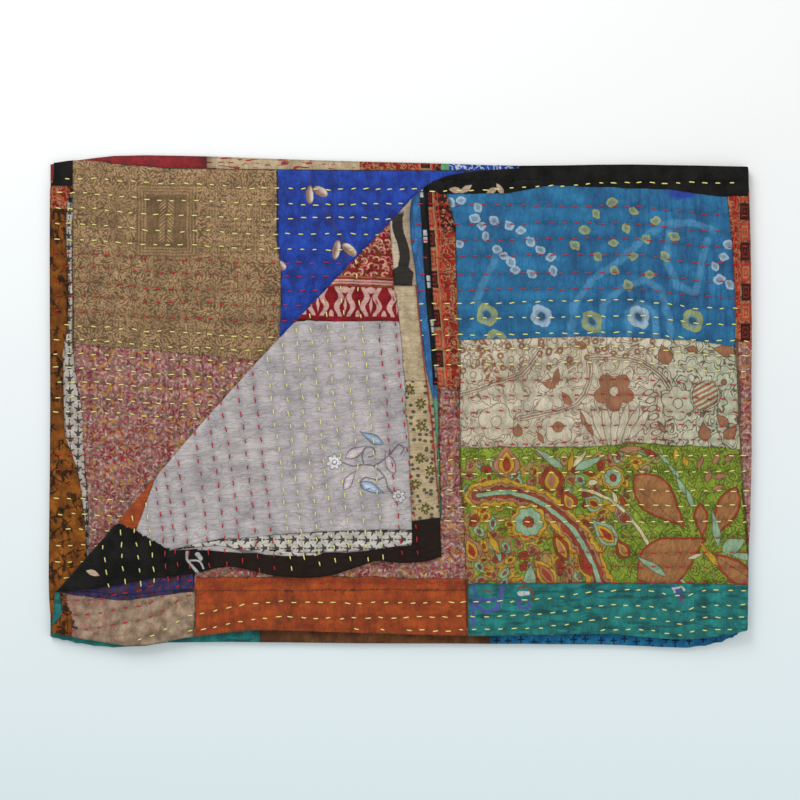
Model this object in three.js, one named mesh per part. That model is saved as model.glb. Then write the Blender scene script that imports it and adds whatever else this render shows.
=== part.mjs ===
// A hand-stitched patchwork throw, folded in half along its lower side and in half again along its
// right-hand side, so that it lies four layers deep, with the upper left corner of the top layer
// turned back over a slanting crease. Millimetres. +X runs along the long side of the folded
// throw, +Y towards its upper hems and +Z up. The origin is on the surface that it lies on, under
// the middle of it.
import * as THREE from "three";

// The folded throw, from the left hems to the side fold and from the upper hems to the lower fold.
const foldedWidth = 1100;
const foldedDepth = 739;

// The cloth: rows of running stitch draw it in, and it crowns between them.
const rowPitch = 24.2;
const firstRow = 15.6;
const halfOnRow = 0.9;
const halfOnCrown = 1.4;
const gapBetweenLayers = 0.6;
const layerPitch = 2 * halfOnCrown + gapBetweenLayers;

// The two folds of the pile. The side fold takes two layers round at once, and its radius is the
// mean of theirs. Both are turned in a few steps.
const lowerFoldRadius = layerPitch / 2;
const sideFoldRadius = layerPitch;
const sideFoldAxis = -1.5 * layerPitch;
const stepsInFold = 4;
const lowerTurn = Math.PI * lowerFoldRadius;
const sideTurn = Math.PI * sideFoldRadius;
const flatWidth = 2 * foldedWidth + sideTurn;
const flatDepth = 2 * foldedDepth + lowerTurn;

// The crease that the corner is turned back over, from the left hem to the upper hem, as places to
// the right of the left hem and below the upper edge. The roll is slacker than the pressed folds,
// settles onto the layer under it within settleWidth, and bows out by creaseBow.
const creaseFoot = new THREE.Vector2(13, -679);
const creaseHead = new THREE.Vector2(592, -39);
const creaseRadius = 3.6;
const settleWidth = 70;
const creaseBow = 9;
const bowReach = 80;
const creaseLength = creaseHead.distanceTo(creaseFoot);
const creaseAlong = creaseHead.clone().sub(creaseFoot).normalize();
const creaseAcross = new THREE.Vector2(-creaseAlong.y, creaseAlong.x);
const creaseTurn = Math.PI * creaseRadius;

// How far each upper hem lies below the straight upper edge, along the throw from its left side.
const firstHem = [
  { x: 0, drop: 62 },
  { x: 69, drop: 58 },
  { x: 181, drop: 52 },
  { x: 253, drop: 51 },
  { x: 307, drop: 57 },
  { x: 460, drop: 58 },
  { x: 515, drop: 60 },
  { x: 570, drop: 52 },
  { x: 600, drop: 30 },
  { x: 630, drop: 17 },
  { x: 681, drop: 9 },
  { x: 744, drop: 5 },
  { x: 839, drop: 2 },
  { x: 960, drop: 0 },
  { x: 1100, drop: 3 },
];
const secondHem = [
  { x: 0, drop: -4 },
  { x: 40, drop: -8 },
  { x: 127, drop: -1 },
  { x: 200, drop: 4 },
  { x: 460, drop: 7 },
  { x: 712, drop: 7 },
  { x: 933, drop: 2 },
  { x: 1100, drop: 4 },
];
const thirdHem = [
  { x: 0, drop: -2 },
  { x: 40, drop: -8 },
  { x: 110, drop: -16 },
  { x: 238, drop: -15 },
  { x: 316, drop: -12 },
  { x: 475, drop: -7 },
  { x: 600, drop: -4 },
  { x: 743, drop: 0 },
  { x: 933, drop: -2 },
  { x: 1100, drop: 4 },
];
const fourthHem = [
  { x: 0, drop: 0 },
  { x: 110, drop: -11 },
  { x: 316, drop: -9 },
  { x: 600, drop: -1 },
  { x: 933, drop: 3 },
  { x: 1100, drop: 4 },
];

// How far the lower fold hangs below its straight line, on the upper and on the lower two layers.
const upperFoldLine = [
  { x: 0, drop: -2 },
  { x: 42, drop: 6 },
  { x: 91, drop: 14 },
  { x: 122, drop: 18 },
  { x: 163, drop: 16 },
  { x: 203, drop: 8 },
  { x: 285, drop: -3 },
  { x: 332, drop: -6 },
  { x: 486, drop: -2 },
  { x: 694, drop: 3 },
  { x: 876, drop: 0 },
  { x: 957, drop: 6 },
  { x: 1009, drop: 8 },
  { x: 1077, drop: 0 },
  { x: 1100, drop: -5 },
];
const lowerFoldLine = [
  { x: 0, drop: 6 },
  { x: 42, drop: 16 },
  { x: 91, drop: 22 },
  { x: 130, drop: 22 },
  { x: 171, drop: 18 },
  { x: 223, drop: 14 },
  { x: 486, drop: 16 },
  { x: 876, drop: 18 },
  { x: 1009, drop: 23 },
  { x: 1045, drop: 19 },
  { x: 1077, drop: 11 },
  { x: 1093, drop: 1 },
  { x: 1100, drop: -5 },
];

// How far two left hems waver inwards: the top layer's, down from the corner that is turned back,
// and that of the layer under it, down from its upper hem.
const firstLeftHem = [
  { fromHem: 0, inward: 4 },
  { fromHem: 30, inward: -1 },
  { fromHem: 73, inward: 1 },
  { fromHem: 111, inward: 7 },
  { fromHem: 150, inward: 0 },
  { fromHem: 192, inward: -8 },
  { fromHem: 237, inward: -8 },
  { fromHem: 289, inward: 0 },
  { fromHem: 367, inward: 21 },
  { fromHem: 429, inward: 16 },
  { fromHem: 500, inward: 15 },
  { fromHem: 590, inward: 9 },
  { fromHem: 668, inward: 9 },
  { fromHem: 739, inward: 3 },
];
const secondLeftHem = [
  { fromHem: 0, inward: 6 },
  { fromHem: 26, inward: 5 },
  { fromHem: 44, inward: 0 },
  { fromHem: 400, inward: 0 },
  { fromHem: 640, inward: -2 },
  { fromHem: 690, inward: -1 },
  { fromHem: 739, inward: 3 },
];
const hemWaverReach = 90;

// How the side fold bows, from the lower fold up to the upper hems.
const sideBow = [
  { y: -760, out: -2 },
  { y: -650, out: 0 },
  { y: -500, out: 4 },
  { y: -370, out: 5 },
  { y: -170, out: 4 },
  { y: -40, out: 1 },
  { y: 30, out: -2 },
];
const sideBowReach = 150;

// The layers stand further apart beside the folds, and unevenly elsewhere. These are shares.
const sideSpring = 0.42;
const lowerSpring = 0.36;
const springReach = 85;
const unevenness = [
  { share: 0.07, lengthX: 1300, lengthY: 1900, phase: 0.6 },
  { share: 0.05, lengthX: -1100, lengthY: 900, phase: 2.1 },
];

// Columns of points across each half of the throw, and the steps down each where it is coarse.
const columnsAcross = [0, 45, 150, 290, 440, 590, 740, 880, 990, 1055, foldedWidth];
const coarseSteps = [0, 60, 200, 360, 520, 620, 690, 720, foldedDepth];
const fineColumnsEnd = 1055;

// The value of a table's column at a place between its rows, along a smooth curve through them.
function readTable(rows, placeName, place, valueName) {
  const last = rows.length - 1;
  if (place <= rows[0][placeName]) return rows[0][valueName];
  if (place >= rows[last][placeName]) return rows[last][valueName];
  const i = rows.findIndex((row) => row[placeName] > place) - 1;
  const slopeAt = (k) => {
    const a = rows[Math.max(k - 1, 0)];
    const b = rows[Math.min(k + 1, last)];
    return (b[valueName] - a[valueName]) / (b[placeName] - a[placeName]);
  };
  const step = rows[i + 1][placeName] - rows[i][placeName];
  const w = (place - rows[i][placeName]) / step;
  const rise = rows[i + 1][valueName] - rows[i][valueName];
  const ease = w * w * (3 - 2 * w);
  const leave = w * (1 - w) * (1 - w) * step * slopeAt(i);
  const arrive = w * w * (w - 1) * step * slopeAt(i + 1);
  return rows[i][valueName] + rise * ease + leave + arrive;
}

// A place on the throw laid out flat is s across it, from the left hem of the top layer, and t down
// it, from that layer's upper hem. Its own hem and fold line give how far down it really lies.
function layOut(s, t) {
  const lowerHalf = THREE.MathUtils.clamp((s - foldedWidth) / sideTurn, 0, 1);
  const x = Math.min(s, Math.max(flatWidth - s, 0), foldedWidth);
  const mixed = (upper, lower) =>
    THREE.MathUtils.lerp(readTable(upper, "x", x, "drop"), readTable(lower, "x", x, "drop"), lowerHalf);
  const foldAt = foldedDepth + mixed(upperFoldLine, lowerFoldLine);
  const fromHem = Math.min(t, flatDepth - t);
  const leftHem = t < flatDepth / 2 ? firstLeftHem : secondLeftHem;
  const waver = readTable(leftHem, "fromHem", fromHem, "inward");
  const u = s + waver * Math.exp(-s / hemWaverReach);
  if (t <= foldedDepth) {
    const hem = mixed(firstHem, fourthHem);
    return { s, t, u, v: hem + (t / foldedDepth) * (foldAt - hem), foldAt };
  }
  if (t <= foldedDepth + lowerTurn) return { s, t, u, v: foldAt + t - foldedDepth, foldAt };
  const hem = mixed(secondHem, thirdHem);
  const share = (t - foldedDepth - lowerTurn) / foldedDepth;
  return { s, t, u, v: foldAt + lowerTurn + share * (foldAt - hem), foldAt };
}

// The steps down a column of points: rows of stitch and crowns where it is fine.
function stepsDown(fine) {
  const steps = [0];
  if (fine) {
    for (let t = firstRow; t < foldedDepth - rowPitch / 4; t += rowPitch / 2) steps.push(t);
    steps.push(foldedDepth);
  } else {
    steps.push(...coarseSteps.slice(1));
  }
  const turned = [];
  for (let k = 1; k < stepsInFold; k++) turned.push(foldedDepth + (lowerTurn * k) / stepsInFold);
  const mirrored = steps.map((t) => flatDepth - t).reverse();
  return [...steps, ...turned, ...mirrored];
}

// Half the cloth's thickness at a place. The hems and the lower two layers have no grooves.
function halfThickness(s, t) {
  const fromHem = Math.min(t, flatDepth - t);
  const grooved = s <= fineColumnsEnd && fromHem >= firstRow && fromHem < foldedDepth - rowPitch / 4;
  if (!grooved) return halfOnCrown;
  const phase = (fromHem - firstRow) % rowPitch;
  const offRow = Math.min(phase, rowPitch - phase) / (rowPitch / 2);
  return THREE.MathUtils.lerp(halfOnRow, halfOnCrown, offRow);
}

// The triangles between two neighbouring columns of points, however many points each one has.
function zipColumns(points, left, right, triangles) {
  let i = 0;
  let j = 0;
  while (i < left.length - 1 || j < right.length - 1) {
    const nextLeft = i < left.length - 1 ? points[left[i + 1]].t : Infinity;
    const nextRight = j < right.length - 1 ? points[right[j + 1]].t : Infinity;
    if (nextLeft <= nextRight) {
      triangles.push([left[i], left[i + 1], right[j]]);
      i += 1;
    } else {
      triangles.push([left[i], right[j + 1], right[j]]);
      j += 1;
    }
  }
}

// The throw laid out flat, as columns of points joined by triangles.
function flatSheet() {
  const points = [];
  const triangles = [];
  const turned = [];
  for (let k = 1; k < stepsInFold; k++) turned.push(foldedWidth + (sideTurn * k) / stepsInFold);
  const mirrored = columnsAcross.map((s) => flatWidth - s).reverse();
  const columns = [...columnsAcross, ...turned, ...mirrored].map((s) =>
    stepsDown(s <= fineColumnsEnd).map((t) => points.push(layOut(s, t)) - 1),
  );
  for (let c = 1; c < columns.length; c++) zipColumns(points, columns[c - 1], columns[c], triangles);
  return { points, triangles };
}

// How far a place on the laid-out throw lies beyond the crease, towards the turned corner.
function beyondCrease(point) {
  return new THREE.Vector2(point.u, -point.v).sub(creaseFoot).dot(creaseAcross);
}

// Splits the triangles that a line crosses. The line is where a point's distance is nought.
function cutAlong(sheet, distanceOf) {
  const near = 0.4;
  const distances = sheet.points.map((p) => {
    const d = distanceOf(p);
    return Math.abs(d) < near ? 0 : d;
  });
  const made = new Map();
  const between = (a, b) => {
    const key = a < b ? `${a}_${b}` : `${b}_${a}`;
    if (!made.has(key)) {
      const [p, q] = [sheet.points[a], sheet.points[b]];
      const w = distances[a] / (distances[a] - distances[b]);
      const mixed = {};
      for (const name of Object.keys(p)) mixed[name] = THREE.MathUtils.lerp(p[name], q[name], w);
      made.set(key, sheet.points.push(mixed) - 1);
    }
    return made.get(key);
  };
  const triangles = [];
  for (const corners of sheet.triangles) {
    const signs = corners.map((c) => Math.sign(distances[c]));
    if (!(signs.includes(1) && signs.includes(-1))) {
      triangles.push(corners);
      continue;
    }
    const zero = signs.indexOf(0);
    if (zero >= 0) {
      const [a, b, c] = [0, 1, 2].map((k) => corners[(zero + k) % 3]);
      const m = between(b, c);
      triangles.push([a, b, m], [a, m, c]);
      continue;
    }
    const lone = signs.findIndex((s) => signs.filter((other) => other === s).length === 1);
    const [a, b, c] = [0, 1, 2].map((k) => corners[(lone + k) % 3]);
    const [m, n] = [between(a, b), between(a, c)];
    triangles.push([a, m, n], [m, b, c], [m, c, n]);
  }
  return { points: sheet.points, triangles };
}

// A point at a height, some way past the start of a turn about an axis at another height.
function turnedOver(past, z, axisZ, radius) {
  if (past <= 0) return { past, z };
  const angle = Math.min(past / radius, Math.PI);
  const arm = z - axisZ;
  const beyond = past - angle * radius;
  return { past: Math.abs(arm) * Math.sin(angle) - beyond, z: axisZ + arm * Math.cos(angle) };
}

// The share by which the layers lie further apart at a place.
function spring(x, y) {
  const side = sideSpring * Math.exp(-Math.max(foldedWidth - x, 0) / springReach);
  const lower = lowerSpring * Math.exp(-Math.max(y + foldedDepth, 0) / springReach);
  const waves = unevenness.map(
    (w) => w.share * Math.sin(2 * Math.PI * (x / w.lengthX + y / w.lengthY) + w.phase),
  );
  return side + lower + waves.reduce((a, b) => a + b, 0);
}

// Where a point of the cloth lies in the folded throw, at a height above its middle surface. The
// pile is measured up from the middle of its lowest layer.
function foldedPlace(point, aboveMiddle) {
  let x = point.u;
  let y = -point.v;
  let z = aboveMiddle;
  const past = beyondCrease(point);
  const turned = turnedOver(past, z, creaseRadius, creaseRadius);
  x += (turned.past - past) * creaseAcross.x;
  y += (turned.past - past) * creaseAcross.y;
  z = turned.z;
  const settled = THREE.MathUtils.smoothstep(past - creaseTurn, 0, settleWidth);
  z -= settled * (2 * creaseRadius - layerPitch);

  const onTop = point.s < foldedWidth && point.t < foldedDepth;
  if (onTop) {
    const from = new THREE.Vector2(x, y).sub(creaseFoot);
    const reach = Math.exp(-Math.abs(from.dot(creaseAcross)) / bowReach);
    const along = THREE.MathUtils.clamp(from.dot(creaseAlong) / creaseLength, 0, 1);
    const bow = creaseBow * Math.sin(Math.PI * along) ** 2 * reach;
    x += bow * creaseAcross.x;
    y += bow * creaseAcross.y;
  }

  const lower = turnedOver(point.v - point.foldAt, z, -lowerFoldRadius, lowerFoldRadius);
  if (point.v > point.foldAt) {
    y = -(point.foldAt + lower.past);
    z = lower.z;
  }
  const sideways = turnedOver(x - foldedWidth, z, sideFoldAxis, sideFoldRadius);
  x = foldedWidth + sideways.past;
  z = (sideways.z + 3 * layerPitch) * (1 + spring(x, y)) + halfOnCrown;
  x += readTable(sideBow, "y", y, "out") * Math.exp(-Math.max(foldedWidth - x, 0) / sideBowReach);
  return { x, y, z };
}

// The point on the cloth's face, for side 1, or on its back, for side -1. The layers stand further
// apart near the folds and the cloth is no thicker there.
function surfacePlace(point, side) {
  const middle = foldedPlace(point, 0);
  const half = halfThickness(point.s, point.t) / (1 + spring(middle.x, middle.y));
  return foldedPlace(point, side * half);
}

// The face, the back and the narrow hem between them, as one closed surface.
function throwGeometry() {
  let sheet = flatSheet();
  const creaseSteps = [0, 1, 2, 3, 4].map((k) => (creaseTurn * k) / stepsInFold);
  for (const past of [...creaseSteps, creaseTurn + settleWidth / 2]) {
    sheet = cutAlong(sheet, (p) => beyondCrease(p) - past);
  }
  const { points, triangles } = sheet;
  const positions = [];
  for (const side of [1, -1]) {
    for (const point of points) {
      const place = surfacePlace(point, side);
      positions.push(place.x, place.y, place.z);
    }
  }
  const index = [];
  const edges = new Map();
  for (const [a, b, c] of triangles) {
    index.push(a, b, c, a + points.length, c + points.length, b + points.length);
    for (const [from, to] of [[a, b], [b, c], [c, a]]) {
      if (!edges.delete(`${to}_${from}`)) edges.set(`${from}_${to}`, [from, to]);
    }
  }
  for (const [from, to] of edges.values()) {
    index.push(from, from + points.length, to + points.length, from, to + points.length, to);
  }
  const geometry = new THREE.BufferGeometry();
  geometry.setAttribute("position", new THREE.Float32BufferAttribute(positions, 3));
  geometry.setIndex(index);
  geometry.computeBoundingBox();
  const { min, max } = geometry.boundingBox;
  geometry.translate(-(min.x + max.x) / 2, -(min.y + max.y) / 2, -min.z);
  geometry.computeVertexNormals();
  return geometry;
}

const clothMaterial = new THREE.MeshStandardMaterial({ color: 0x6f5a6b, roughness: 0.88, metalness: 0 });
const cloth = new THREE.Mesh(throwGeometry(), clothMaterial);
cloth.name = "throw";

const throwGroup = new THREE.Group();
throwGroup.add(cloth);

export default throwGroup;
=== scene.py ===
"""Looks of a hand-stitched patchwork throw that lies folded in four, one corner turned back.

The cloth is one closed sheet. It is laid out flat on a lattice, cut into patches along its seams,
puckered along its rows of running stitch and folded by the same rules as the CAD solid. Sizes are
in millimetres up to the last step, which writes metres. Places on the folded throw are also given
as steps of the drawing grid that the folded throw was measured on, 1.58 mm each, from the left and
from the top: a Spot.
"""

import logging
import math
from dataclasses import dataclass
from enum import Enum
from typing import Sequence

import bpy
import numpy as np
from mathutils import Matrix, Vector


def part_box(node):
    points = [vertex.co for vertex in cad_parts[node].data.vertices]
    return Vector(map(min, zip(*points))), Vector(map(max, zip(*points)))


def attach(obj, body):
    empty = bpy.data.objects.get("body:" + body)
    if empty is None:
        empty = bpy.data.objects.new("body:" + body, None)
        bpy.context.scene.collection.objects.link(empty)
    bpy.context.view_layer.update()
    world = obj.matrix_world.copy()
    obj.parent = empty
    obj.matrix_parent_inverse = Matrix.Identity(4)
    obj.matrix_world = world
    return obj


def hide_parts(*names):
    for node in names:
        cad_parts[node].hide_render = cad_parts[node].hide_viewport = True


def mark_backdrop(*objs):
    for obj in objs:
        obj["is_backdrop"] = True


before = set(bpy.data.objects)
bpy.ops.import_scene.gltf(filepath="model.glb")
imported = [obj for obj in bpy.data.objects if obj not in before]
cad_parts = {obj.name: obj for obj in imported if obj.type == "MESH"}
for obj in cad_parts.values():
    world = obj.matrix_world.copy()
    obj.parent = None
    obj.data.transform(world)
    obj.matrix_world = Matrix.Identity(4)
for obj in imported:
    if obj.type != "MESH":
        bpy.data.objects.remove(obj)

LOG = logging.getLogger("throw")

Spot = tuple[float, float]
Rows = Sequence[tuple[float, float]]
Colour = tuple[float, float, float]
Pair = tuple[np.ndarray, np.ndarray]

GRID_STEP = 1.58
GRID_LEFT = 49.2
GRID_TOP = 164.5


def to_mm(spot: Spot) -> Spot:
    """A spot of the drawing grid in millimetres right of and below the throw's straight corner."""
    return ((spot[0] - GRID_LEFT) * GRID_STEP, (spot[1] - GRID_TOP) * GRID_STEP)


def smooth(low: float, high: float, at: np.ndarray) -> np.ndarray:
    """A smooth step from 0 at low to 1 at high."""
    w = np.clip((at - low) / (high - low), 0, 1)
    return w * w * (3 - 2 * w)


def read_rows(rows: Rows, at: np.ndarray) -> np.ndarray:
    """The value of a table of (place, value) rows along a smooth curve through them."""
    place, value = (np.array(column, float) for column in zip(*rows))
    at = np.clip(np.asarray(at, float), place[0], place[-1])
    i = np.clip(np.searchsorted(place, at, side="right") - 1, 0, len(place) - 2)
    row = np.arange(len(place))
    before, after = np.maximum(row - 1, 0), np.minimum(row + 1, len(place) - 1)
    slope = (value[after] - value[before]) / (place[after] - place[before])
    step = place[i + 1] - place[i]
    w = (at - place[i]) / step
    ease = w * w * (3 - 2 * w)
    leave = w * (1 - w) ** 2 * step * slope[i]
    arrive = w * w * (w - 1) * step * slope[i + 1]
    return value[i] + (value[i + 1] - value[i]) * ease + leave + arrive


class Bumps:
    """Smooth seeded noise over a plane, from -1 to 1."""

    SIZE = 128

    def __init__(self, seed: int) -> None:
        """Draws the random values between which the bumps run."""
        self.values = np.random.default_rng(seed).uniform(-1, 1, (self.SIZE, self.SIZE))

    def at(self, x: np.ndarray, y: np.ndarray) -> np.ndarray:
        """The noise at places whose unit is one bump."""
        i, j = np.floor(x).astype(int), np.floor(y).astype(int)
        across, down = smooth(0, 1, x - i), smooth(0, 1, y - j)
        corners = [[self.values[(i + a) % self.SIZE, (j + b) % self.SIZE] for a in (0, 1)] for b in (0, 1)]
        upper, lower = (left * (1 - across) + right * across for left, right in corners)
        return upper * (1 - down) + lower * down


# The folded throw


@dataclass(frozen=True)
class ThrowSizes:
    """The throw's sizes in millimetres, the same as its CAD solid's."""

    width: float = 1100.0
    depth: float = 739.0
    layer_pitch: float = 3.4
    half_cloth: float = 1.4
    crease_radius: float = 3.6
    crease_foot: Spot = (13.0, -679.0)
    crease_head: Spot = (592.0, -39.0)
    crease_bow: float = 9.0
    bow_reach: float = 80.0
    settle_width: float = 70.0
    hem_waver_reach: float = 90.0
    side_spring: float = 0.42
    lower_spring: float = 0.36
    spring_reach: float = 85.0
    side_bow_reach: float = 150.0
    first_hem: Rows = (
        (0, 62), (69, 58), (181, 52), (253, 51), (307, 57), (460, 58), (515, 60), (570, 52),
        (600, 30), (630, 17), (681, 9), (744, 5), (839, 2), (960, 0), (1100, 3),
    )  # fmt: skip
    second_hem: Rows = ((0, -4), (40, -8), (127, -1), (200, 4), (460, 7), (712, 7), (933, 2), (1100, 4))
    third_hem: Rows = (
        (0, -2), (40, -8), (110, -16), (238, -15), (316, -12), (475, -7), (600, -4), (743, 0),
        (933, -2), (1100, 4),
    )  # fmt: skip
    fourth_hem: Rows = ((0, 0), (110, -11), (316, -9), (600, -1), (933, 3), (1100, 4))
    upper_fold: Rows = (
        (0, -2), (42, 6), (91, 14), (122, 18), (163, 16), (203, 8), (285, -3), (332, -6),
        (486, -2), (694, 3), (876, 0), (957, 6), (1009, 8), (1077, 0), (1100, -5),
    )  # fmt: skip
    lower_fold: Rows = (
        (0, 6), (42, 16), (91, 22), (130, 22), (171, 18), (223, 14), (486, 16), (876, 18),
        (1009, 23), (1045, 19), (1077, 11), (1093, 1), (1100, -5),
    )  # fmt: skip
    first_left: Rows = (
        (0, 4), (30, -1), (73, 1), (111, 7), (150, 0), (192, -8), (237, -8), (289, 0), (367, 21),
        (429, 16), (500, 15), (590, 9), (668, 9), (739, 3),
    )  # fmt: skip
    second_left: Rows = ((0, 6), (26, 5), (44, 0), (400, 0), (640, -2), (690, -1), (739, 3))
    side_bow: Rows = ((-760, -2), (-650, 0), (-500, 4), (-370, 5), (-170, 4), (-40, 1), (30, -2))
    unevenness: Sequence[tuple[float, float, float, float]] = (
        (0.07, 1300, 1900, 0.6),
        (0.05, -1100, 900, 2.1),
    )
    ripples: Sequence[tuple[float, Spot, Spot]] = ((0.045, (75, 60), (40, 40)), (0.03, (31, 40), (9, 70)))

    @property
    def lower_turn(self) -> float:
        """The cloth taken up by the lower fold."""
        return math.pi * self.layer_pitch / 2

    @property
    def side_turn(self) -> float:
        """The cloth taken up by the side fold."""
        return math.pi * self.layer_pitch

    @property
    def flat(self) -> tuple[float, float]:
        """The throw's width and depth laid out."""
        return 2 * self.width + self.side_turn, 2 * self.depth + self.lower_turn


@dataclass
class Flat:
    """Places on the throw laid out: lattice steps s and t, real places u and v, and the fold's v."""

    s: np.ndarray
    t: np.ndarray
    u: np.ndarray
    v: np.ndarray
    fold_at: np.ndarray

    def moved(self, du: np.ndarray | float, dv: np.ndarray | float) -> "Flat":
        """The same places shifted on the cloth."""
        return Flat(self.s, self.t, self.u + du, self.v + dv, self.fold_at)


class FoldedThrow:
    """Works out where each place of the flat cloth lies in the folded throw."""

    def __init__(self, sizes: ThrowSizes) -> None:
        """Works out the crease's direction."""
        self.sizes = sizes
        self.foot, self.head = np.array(sizes.crease_foot), np.array(sizes.crease_head)
        self.crease_length = float(np.linalg.norm(self.head - self.foot))
        self.along = (self.head - self.foot) / self.crease_length
        self.across = np.array([-self.along[1], self.along[0]])
        self.ripples = Bumps(11)

    def lay_out(self, s: np.ndarray, t: np.ndarray) -> Flat:
        """Real places on the flat cloth, inside its uneven hems and fold lines."""
        z = self.sizes
        flat_w, flat_d = z.flat
        lower_half = np.clip((s - z.width) / z.side_turn, 0, 1)
        x = np.minimum(np.minimum(s, np.maximum(flat_w - s, 0)), z.width)

        def mixed(upper: Rows, lower: Rows) -> np.ndarray:
            """A line that differs between the upper and the lower half of the side fold."""
            return read_rows(upper, x) * (1 - lower_half) + read_rows(lower, x) * lower_half

        fold_at = z.depth + mixed(z.upper_fold, z.lower_fold)
        from_hem = np.minimum(t, flat_d - t)
        first, second = read_rows(z.first_left, from_hem), read_rows(z.second_left, from_hem)
        inward = np.where(t < flat_d / 2, first, second)
        u = s + inward * np.exp(-s / z.hem_waver_reach)
        near, far = mixed(z.first_hem, z.fourth_hem), mixed(z.second_hem, z.third_hem)
        share = np.clip((t - z.depth - z.lower_turn) / z.depth, 0, 1)
        v = np.where(
            t <= z.depth,
            near + t / z.depth * (fold_at - near),
            np.where(
                t <= z.depth + z.lower_turn,
                fold_at + t - z.depth,
                fold_at + z.lower_turn + share * (fold_at - far),
            ),
        )
        return Flat(s, t, u, v, fold_at)

    def beyond_crease(self, u: np.ndarray, v: np.ndarray) -> np.ndarray:
        """How far a place lies beyond the crease, towards the turned corner."""
        return (u - self.foot[0]) * self.across[0] + (-v - self.foot[1]) * self.across[1]

    def crease_depth(self, u: float) -> float:
        """How far down the cloth the crease crosses, u from the left."""
        return -(self.foot[1] + (u - self.foot[0]) * self.along[1] / self.along[0])

    def bow_at(self, x: np.ndarray, y: np.ndarray) -> np.ndarray:
        """How far the crease's bow carries a place of the top layer."""
        from_foot = np.stack([x - self.foot[0], y - self.foot[1]], -1)
        reach = np.exp(-np.abs(from_foot @ self.across) / self.sizes.bow_reach)
        share = np.clip(from_foot @ self.along / self.crease_length, 0, 1)
        return self.sizes.crease_bow * np.sin(math.pi * share) ** 2 * reach

    @staticmethod
    def _turned(past: np.ndarray, z: np.ndarray, axis_z: float, radius: float) -> Pair:
        """Turns what lies past a fold round its axis: how far past it is then, and its height."""
        angle = np.clip(past / radius, 0, math.pi)
        arm = z - axis_z
        there = np.abs(arm) * np.sin(angle) - (past - angle * radius)
        return np.where(past <= 0, past, there), np.where(past <= 0, z, axis_z + arm * np.cos(angle))

    def spring(self, x: np.ndarray, y: np.ndarray) -> np.ndarray:
        """The share by which the layers lie further apart at a place."""
        z = self.sizes
        total = z.side_spring * np.exp(-np.maximum(z.width - x, 0) / z.spring_reach)
        total += z.lower_spring * np.exp(-np.maximum(y + z.depth, 0) / z.spring_reach)
        for share, length_x, length_y, phase in z.unevenness:
            total += share * np.sin(2 * math.pi * (x / length_x + y / length_y) + phase)
        return total

    def _fold(self, f: Flat, height: np.ndarray, plain: bool) -> tuple[np.ndarray, np.ndarray, np.ndarray]:
        """Folds places over the crease, the lower fold and the side fold: x, y and height."""
        z = self.sizes
        x, y = f.u.copy(), -f.v
        past = self.beyond_crease(f.u, f.v)
        turned, up = self._turned(past, height, z.crease_radius, z.crease_radius)
        x += (turned - past) * self.across[0]
        y += (turned - past) * self.across[1]
        settled = smooth(0, z.settle_width, past - math.pi * z.crease_radius)
        up = up - settled * (2 * z.crease_radius - z.layer_pitch)
        if not plain:
            bow = np.where((f.s < z.width) & (f.t < z.depth), self.bow_at(x, y), 0)
            x += bow * self.across[0]
            y += bow * self.across[1]
        radius = z.layer_pitch / 2
        lower, low_up = self._turned(f.v - f.fold_at, up, -radius, radius)
        under = f.v > f.fold_at
        y = np.where(under, -(f.fold_at + lower), y)
        up = np.where(under, low_up, up)
        side, up = self._turned(x - z.width, up, -1.5 * z.layer_pitch, z.layer_pitch)
        return z.width + side, y, up + 3 * z.layer_pitch

    def pattern_place(self, f: Flat) -> np.ndarray:
        """Where each place lies across the neatly folded throw, which the prints follow."""
        x, y, _ = self._fold(f, np.zeros_like(f.u), True)
        return np.stack([x, y], -1)

    def place(self, f: Flat, height: np.ndarray) -> np.ndarray:
        """Where each place lies in the folded throw, at a height above the cloth's middle surface.

        Args:
            f: places on the flat cloth.
            height: millimetres above the cloth's middle, less than nought on its back.

        Returns:
            Places in millimetres, the lowest layer's underside at nought.
        """
        z = self.sizes
        x, y, _ = self._fold(f, np.zeros_like(f.u), False)
        x, y, up = self._fold(f, height / (1 + self.spring(x, y)), False)
        ripple = sum(d * self.ripples.at(x / w + i, y / h + j) for d, (w, h), (i, j) in z.ripples)
        up = up * (1 + self.spring(x, y)) * (1 + ripple) + z.half_cloth
        x = x + read_rows(z.side_bow, y) * np.exp(-np.maximum(z.width - x, 0) / z.side_bow_reach)
        return np.stack([x, y, up], -1)


# Running stitch


class Thread(Enum):
    """The two sewing threads."""

    YELLOW = "yellow"
    RED = "red"


class Leaf(Enum):
    """The sides of the folded throw's layers, by where they show."""

    FRONT = "upper side of the top layer"
    FLAP = "turned-back corner"
    UNDER = "back of the second layer"
    PEEK = "edges of the third layer"
    BASE = "underside"
    INNER = "hidden sides"


@dataclass(frozen=True)
class StitchRow:
    """A row of running stitch: its height on the grid at its left and its right, and its threads."""

    left: float
    right: float
    front: Thread
    back: Thread


def stitch_rows(lefts: Sequence[float], rights: Sequence[float], front: str, back: str) -> list[StitchRow]:
    """Rows from two columns of heights and two strings of thread letters, y or r."""
    threads = {"y": Thread.YELLOW, "r": Thread.RED}
    return [StitchRow(a, b, threads[f], threads[k]) for a, b, f, k in zip(lefts, rights, front, back)]


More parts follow.
